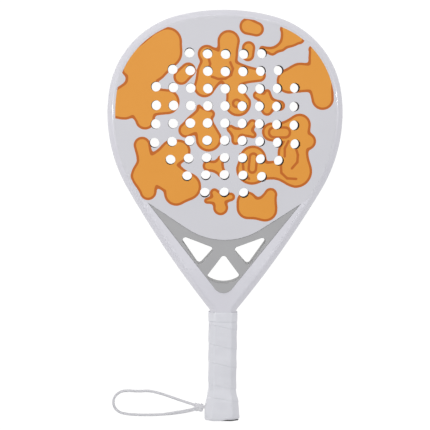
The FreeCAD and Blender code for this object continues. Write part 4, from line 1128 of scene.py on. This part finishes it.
def strip_swell(share):
    """How far the strip stands out, in millimetres: a step at its lower edge that fades past the overlap."""
    step_up = ease(share, 0.0, STEP_SHARE)
    fade = 1 - ease(share, OVERLAP, OVERLAP + FADE)
    groove = GROOVE_DEPTH * np.exp(-((share - 1 + STEP_SHARE / 2) / (STEP_SHARE / 2)) ** 2)
    return STEP_HEIGHT * step_up * fade - groove - STRIP_SINK


def grip_swell(height, angles):
    """How far the wound grip stands out: the strip's steps, the lip at the butt, the squeeze of the tape."""
    butt_share = 1 - ease(height, grip_bottom + BUTT_STRETCH[0], grip_bottom + BUTT_STRETCH[1])
    butt_edge = BUTT_EDGE_ROUND * (1 - ease(height, grip_bottom, grip_bottom + BUTT_EDGE_HEIGHT))
    top_edge = TOP_EDGE_ROUND * ease(height, NECK_HEIGHT - TOP_EDGE_HEIGHT, NECK_HEIGHT)
    under_tape = ease(height, tape_low - TAPE_STRETCH[0], tape_low - TAPE_STRETCH[1])
    swell = strip_swell(turn_share(height, angles)) * (1 - butt_share) * (1 - under_tape)
    return swell + LIP_OVERHANG * butt_share - TAPE_SQUEEZE * under_tape - (butt_edge + top_edge)


def even_swell(distance):
    """A wall that stands out by the same distance everywhere."""
    return lambda height, angles: np.full(len(angles), float(distance))


print("the strip goes round %d times" % (len(SEAM_HEIGHTS) - 1))


# %% Wind the grip
def tube_wall(heights, octagons, swell):
    """Rings of points up the handle, pushed out by swell, with each ring's octagon read between stations."""
    walls = []
    for height in heights:
        sizes = [np.interp(height, station_heights, octagons[:, k]) for k in range(3)]
        ring, outward = octagon_ring(*sizes)
        angles = np.arctan2(ring[:, 1], ring[:, 0]) % math.tau
        ring = ring + outward * swell(height, angles)[:, None]
        walls.append([(x, height, z + MIDDLE_Z) for x, z in ring])
    return walls


def sleeve(name, outer, inner):
    """A closed sleeve from rings up its outside and back down its inside."""
    loops = outer + inner[::-1]
    count = len(loops)
    points = [place(*spot) for loop in loops for spot in loop]
    faces = [(r * RING_POINTS + k, r * RING_POINTS + (k + 1) % RING_POINTS,
              (r + 1) % count * RING_POINTS + (k + 1) % RING_POINTS, (r + 1) % count * RING_POINTS + k)
             for r in range(count) for k in range(RING_POINTS)]
    return new_piece(name, mesh_of(name, points, faces))


def lowered(walls):
    """The grip's lowest rings pulled down over the cap's flange on the side where the strip starts."""
    def drop(x, height):
        return LIP_DROP * ease(-x, *LIP_SIDE) * (1 - ease(height, grip_bottom, grip_bottom + LIP_HEIGHT))

    return [[(x, height - drop(x, height), z) for x, height, z in ring] for ring in walls]


ring_heights = np.linspace(grip_bottom, NECK_HEIGHT, int((NECK_HEIGHT - grip_bottom) / RING_STEP))
inner_heights = np.linspace(grip_bottom + 0.1, NECK_HEIGHT, 24)
flange_wall = tube_wall([grip_bottom, grip_bottom + 0.1], outer_octagons, even_swell(FLANGE_GAP))
wound_grip = sleeve(
    "wound_grip", lowered(flange_wall[:1]) + lowered(tube_wall(ring_heights, outer_octagons, grip_swell)),
    flange_wall[1:] + tube_wall(inner_heights, inner_octagons, even_swell(0)))
print("grip: %d vertices" % len(wound_grip.data.vertices))

# %% The cord's hole through the grip
CORD_HOLE_RADIUS = 3.0
CORD_HOLE_HEIGHT = 13.5
PUNCH_FROM = -30
PUNCH_TO = -12
punch = lathe("punch", [
    (0, PUNCH_FROM), (CORD_HOLE_RADIUS, PUNCH_FROM), (CORD_HOLE_RADIUS, PUNCH_TO), (0, PUNCH_TO)], 40)
punch.data.transform(Matrix.Translation(place(0, CORD_HOLE_HEIGHT, MIDDLE_Z)) @ Matrix.Rotation(
    math.radians(90), 4, "Y"))
cut_to(wound_grip, punch, "DIFFERENCE")
bpy.data.objects.remove(punch)
print("cord hole: %.1f mm wide" % (2 * CORD_HOLE_RADIUS))

# %% Embossed synthetic leather: soft, matt, with a fine pebble
PEBBLE = 0.9
HANDLING_PER_MM = 0.06
grip_leather, leather_tree, leather_shader = new_finish("pale_grip_leather", "#D4D4D9", {
    "Roughness": 0.6, "IOR": 1.5, "Specular IOR Level": 0.4, "Sheen Weight": 0.1, "Sheen Roughness": 0.5})
leather_place = add(leather_tree, "ShaderNodeTexCoord").outputs["Object"]
pebbles = add(leather_tree, "ShaderNodeTexVoronoi", {"Vector": leather_place, "Scale": 1 / (PEBBLE * MM)},
              feature="SMOOTH_F1")
handling = add(leather_tree, "ShaderNodeTexNoise", {"Vector": leather_place, "Scale": HANDLING_PER_MM / MM,
               "Detail": 5.0, "Roughness": 0.6})
leather_height = add(leather_tree, "ShaderNodeMath", {0: handling.outputs["Fac"], 1: 1.5,
                     2: pebbles.outputs["Distance"]}, operation="MULTIPLY_ADD")
tone_and_bump(leather_tree, leather_shader, handling.outputs["Fac"], "#D0D0D5", "#E0E0E4",
              leather_height.outputs[0], 0.35, 0.15)
smooth(wound_grip, 60)
hand_over(wound_grip, grip_leather, "grip_cushion", "base_grip")

# %% [markdown]
# ## The finishing tape
# A stretch of thin vinyl tape holds the strip's last turn at the neck. It follows the grip under it, so it
# is the same sleeve, a third of a millimetre further out, with edges that curl in.

# %% Pale vinyl tape
TAPE_LIFT = 0.3
TAPE_EDGE = (-0.05, 0.3)
WRINKLES_PER_MM = 0.15
closing_tape, vinyl_tree, vinyl_shader = new_finish("pale_vinyl_tape", "#DADADF", {
    "Roughness": 0.35, "IOR": 1.53})
vinyl_place = add(vinyl_tree, "ShaderNodeTexCoord").outputs["Object"]
wrinkles = add(vinyl_tree, "ShaderNodeTexNoise", {"Vector": vinyl_place, "Scale": WRINKLES_PER_MM / MM,
               "Detail": 3.0})
# The wrinkles' troughs are painted darker and their crests lighter: painted shade in the wrinkles.
tone_and_bump(vinyl_tree, vinyl_shader, wrinkles.outputs["Fac"], "#D3D3D8", "#E2E2E6",
              wrinkles.outputs["Fac"], 0.25, 0.2)
print("wrinkles: %.1f mm apart" % (1 / WRINKLES_PER_MM))


# %% Wrap the tape
def tape_swell(height, angles):
    """How far the tape stands out: its lift, which fades at its two edges."""
    edge = min(height - tape_low, tape_high - height)
    return np.full(len(angles), TAPE_LIFT * ease(edge, *TAPE_EDGE))


tape_heights = np.linspace(tape_low, tape_high, 27)
closing_band = sleeve("closing_band", tube_wall(tape_heights, outer_octagons, tape_swell),
                      tube_wall(tape_heights, outer_octagons, even_swell(-TAPE_LIFT)))
smooth(closing_band, 60)
hand_over(closing_band, closing_tape, "closing_tape", "grip_finishing_tape")
bpy.data.objects.remove(envelope)

# %% [markdown]
# ## Table and light
# The racket lies on a glowing white table, as a light table for product pictures: the holes and windows
# read as pure white, and shadows stay faint. Its own colour is dark, so that little of the lamps' light
# bounces off it onto the racket's sides. A large soft lamp from the upper left shapes the chamfers. Three
# long soft boxes, at the left, at the right and above, show only in what mirrors them, as the bright line
# along the rounded rim.

# %% Table
TABLE_HALF = 8.0
TABLE_GAP = 0.2
table_corners = [(x * TABLE_HALF, y * TABLE_HALF, -TABLE_GAP * MM)
                 for x, y in ((-1, -1), (1, -1), (1, 1), (-1, 1))]
table = new_piece("light_table", mesh_of("light_table", table_corners, [(0, 1, 2, 3)]))
table_white = new_finish("glowing_table", "#3C3C3C", {
    "Roughness": 0.9, "Emission Color": linear("#FFFFFF"), "Emission Strength": 0.99})[0]
table.data.materials.append(table_white)
print("table: %.0f m wide" % (2 * TABLE_HALF))

# %% Lamps
LAMPS_AIM_AT = Vector((0, 0, 0))


def soft_box(name, spot, width, length, watts):
    """A rectangular lamp that looks at the middle of the racket. Places and sizes are in metres."""
    lamp = bpy.data.lights.new(name, "AREA")
    lamp.shape = "RECTANGLE"
    lamp.size = width
    lamp.size_y = length
    lamp.energy = watts
    box = bpy.data.objects.new(name, lamp)
    box.location = spot
    box.rotation_euler = (LAMPS_AIM_AT - Vector(spot)).to_track_quat("-Z", "Y").to_euler()
    bpy.context.scene.collection.objects.link(box)
    return box


soft_box("overhead_lamp", (-0.7, 0.9, 2.8), 1.6, 1.6, 39)
for name, spot, width, length, watts in (
        ("left_rim_light", (-1.5, 0.1, 1.6), 0.2, 1.8, 22), ("top_rim_light", (0.0, 1.7, 1.6), 1.8, 0.2, 16),
        ("right_rim_light", (1.6, 0.3, 1.6), 0.2, 1.8, 30)):
    soft_box(name, spot, width, length, watts).visible_diffuse = False
world = bpy.data.worlds.new("studio")
world.use_nodes = True
world.node_tree.nodes["Background"].inputs["Color"].default_value = linear("#FAFBFF")
world.node_tree.nodes["Background"].inputs["Strength"].default_value = 0.58
bpy.context.scene.world = world
bpy.context.scene.view_settings.view_transform = "Standard"
print("lamps:", ", ".join(sorted(lamp.name for lamp in bpy.data.lights)))
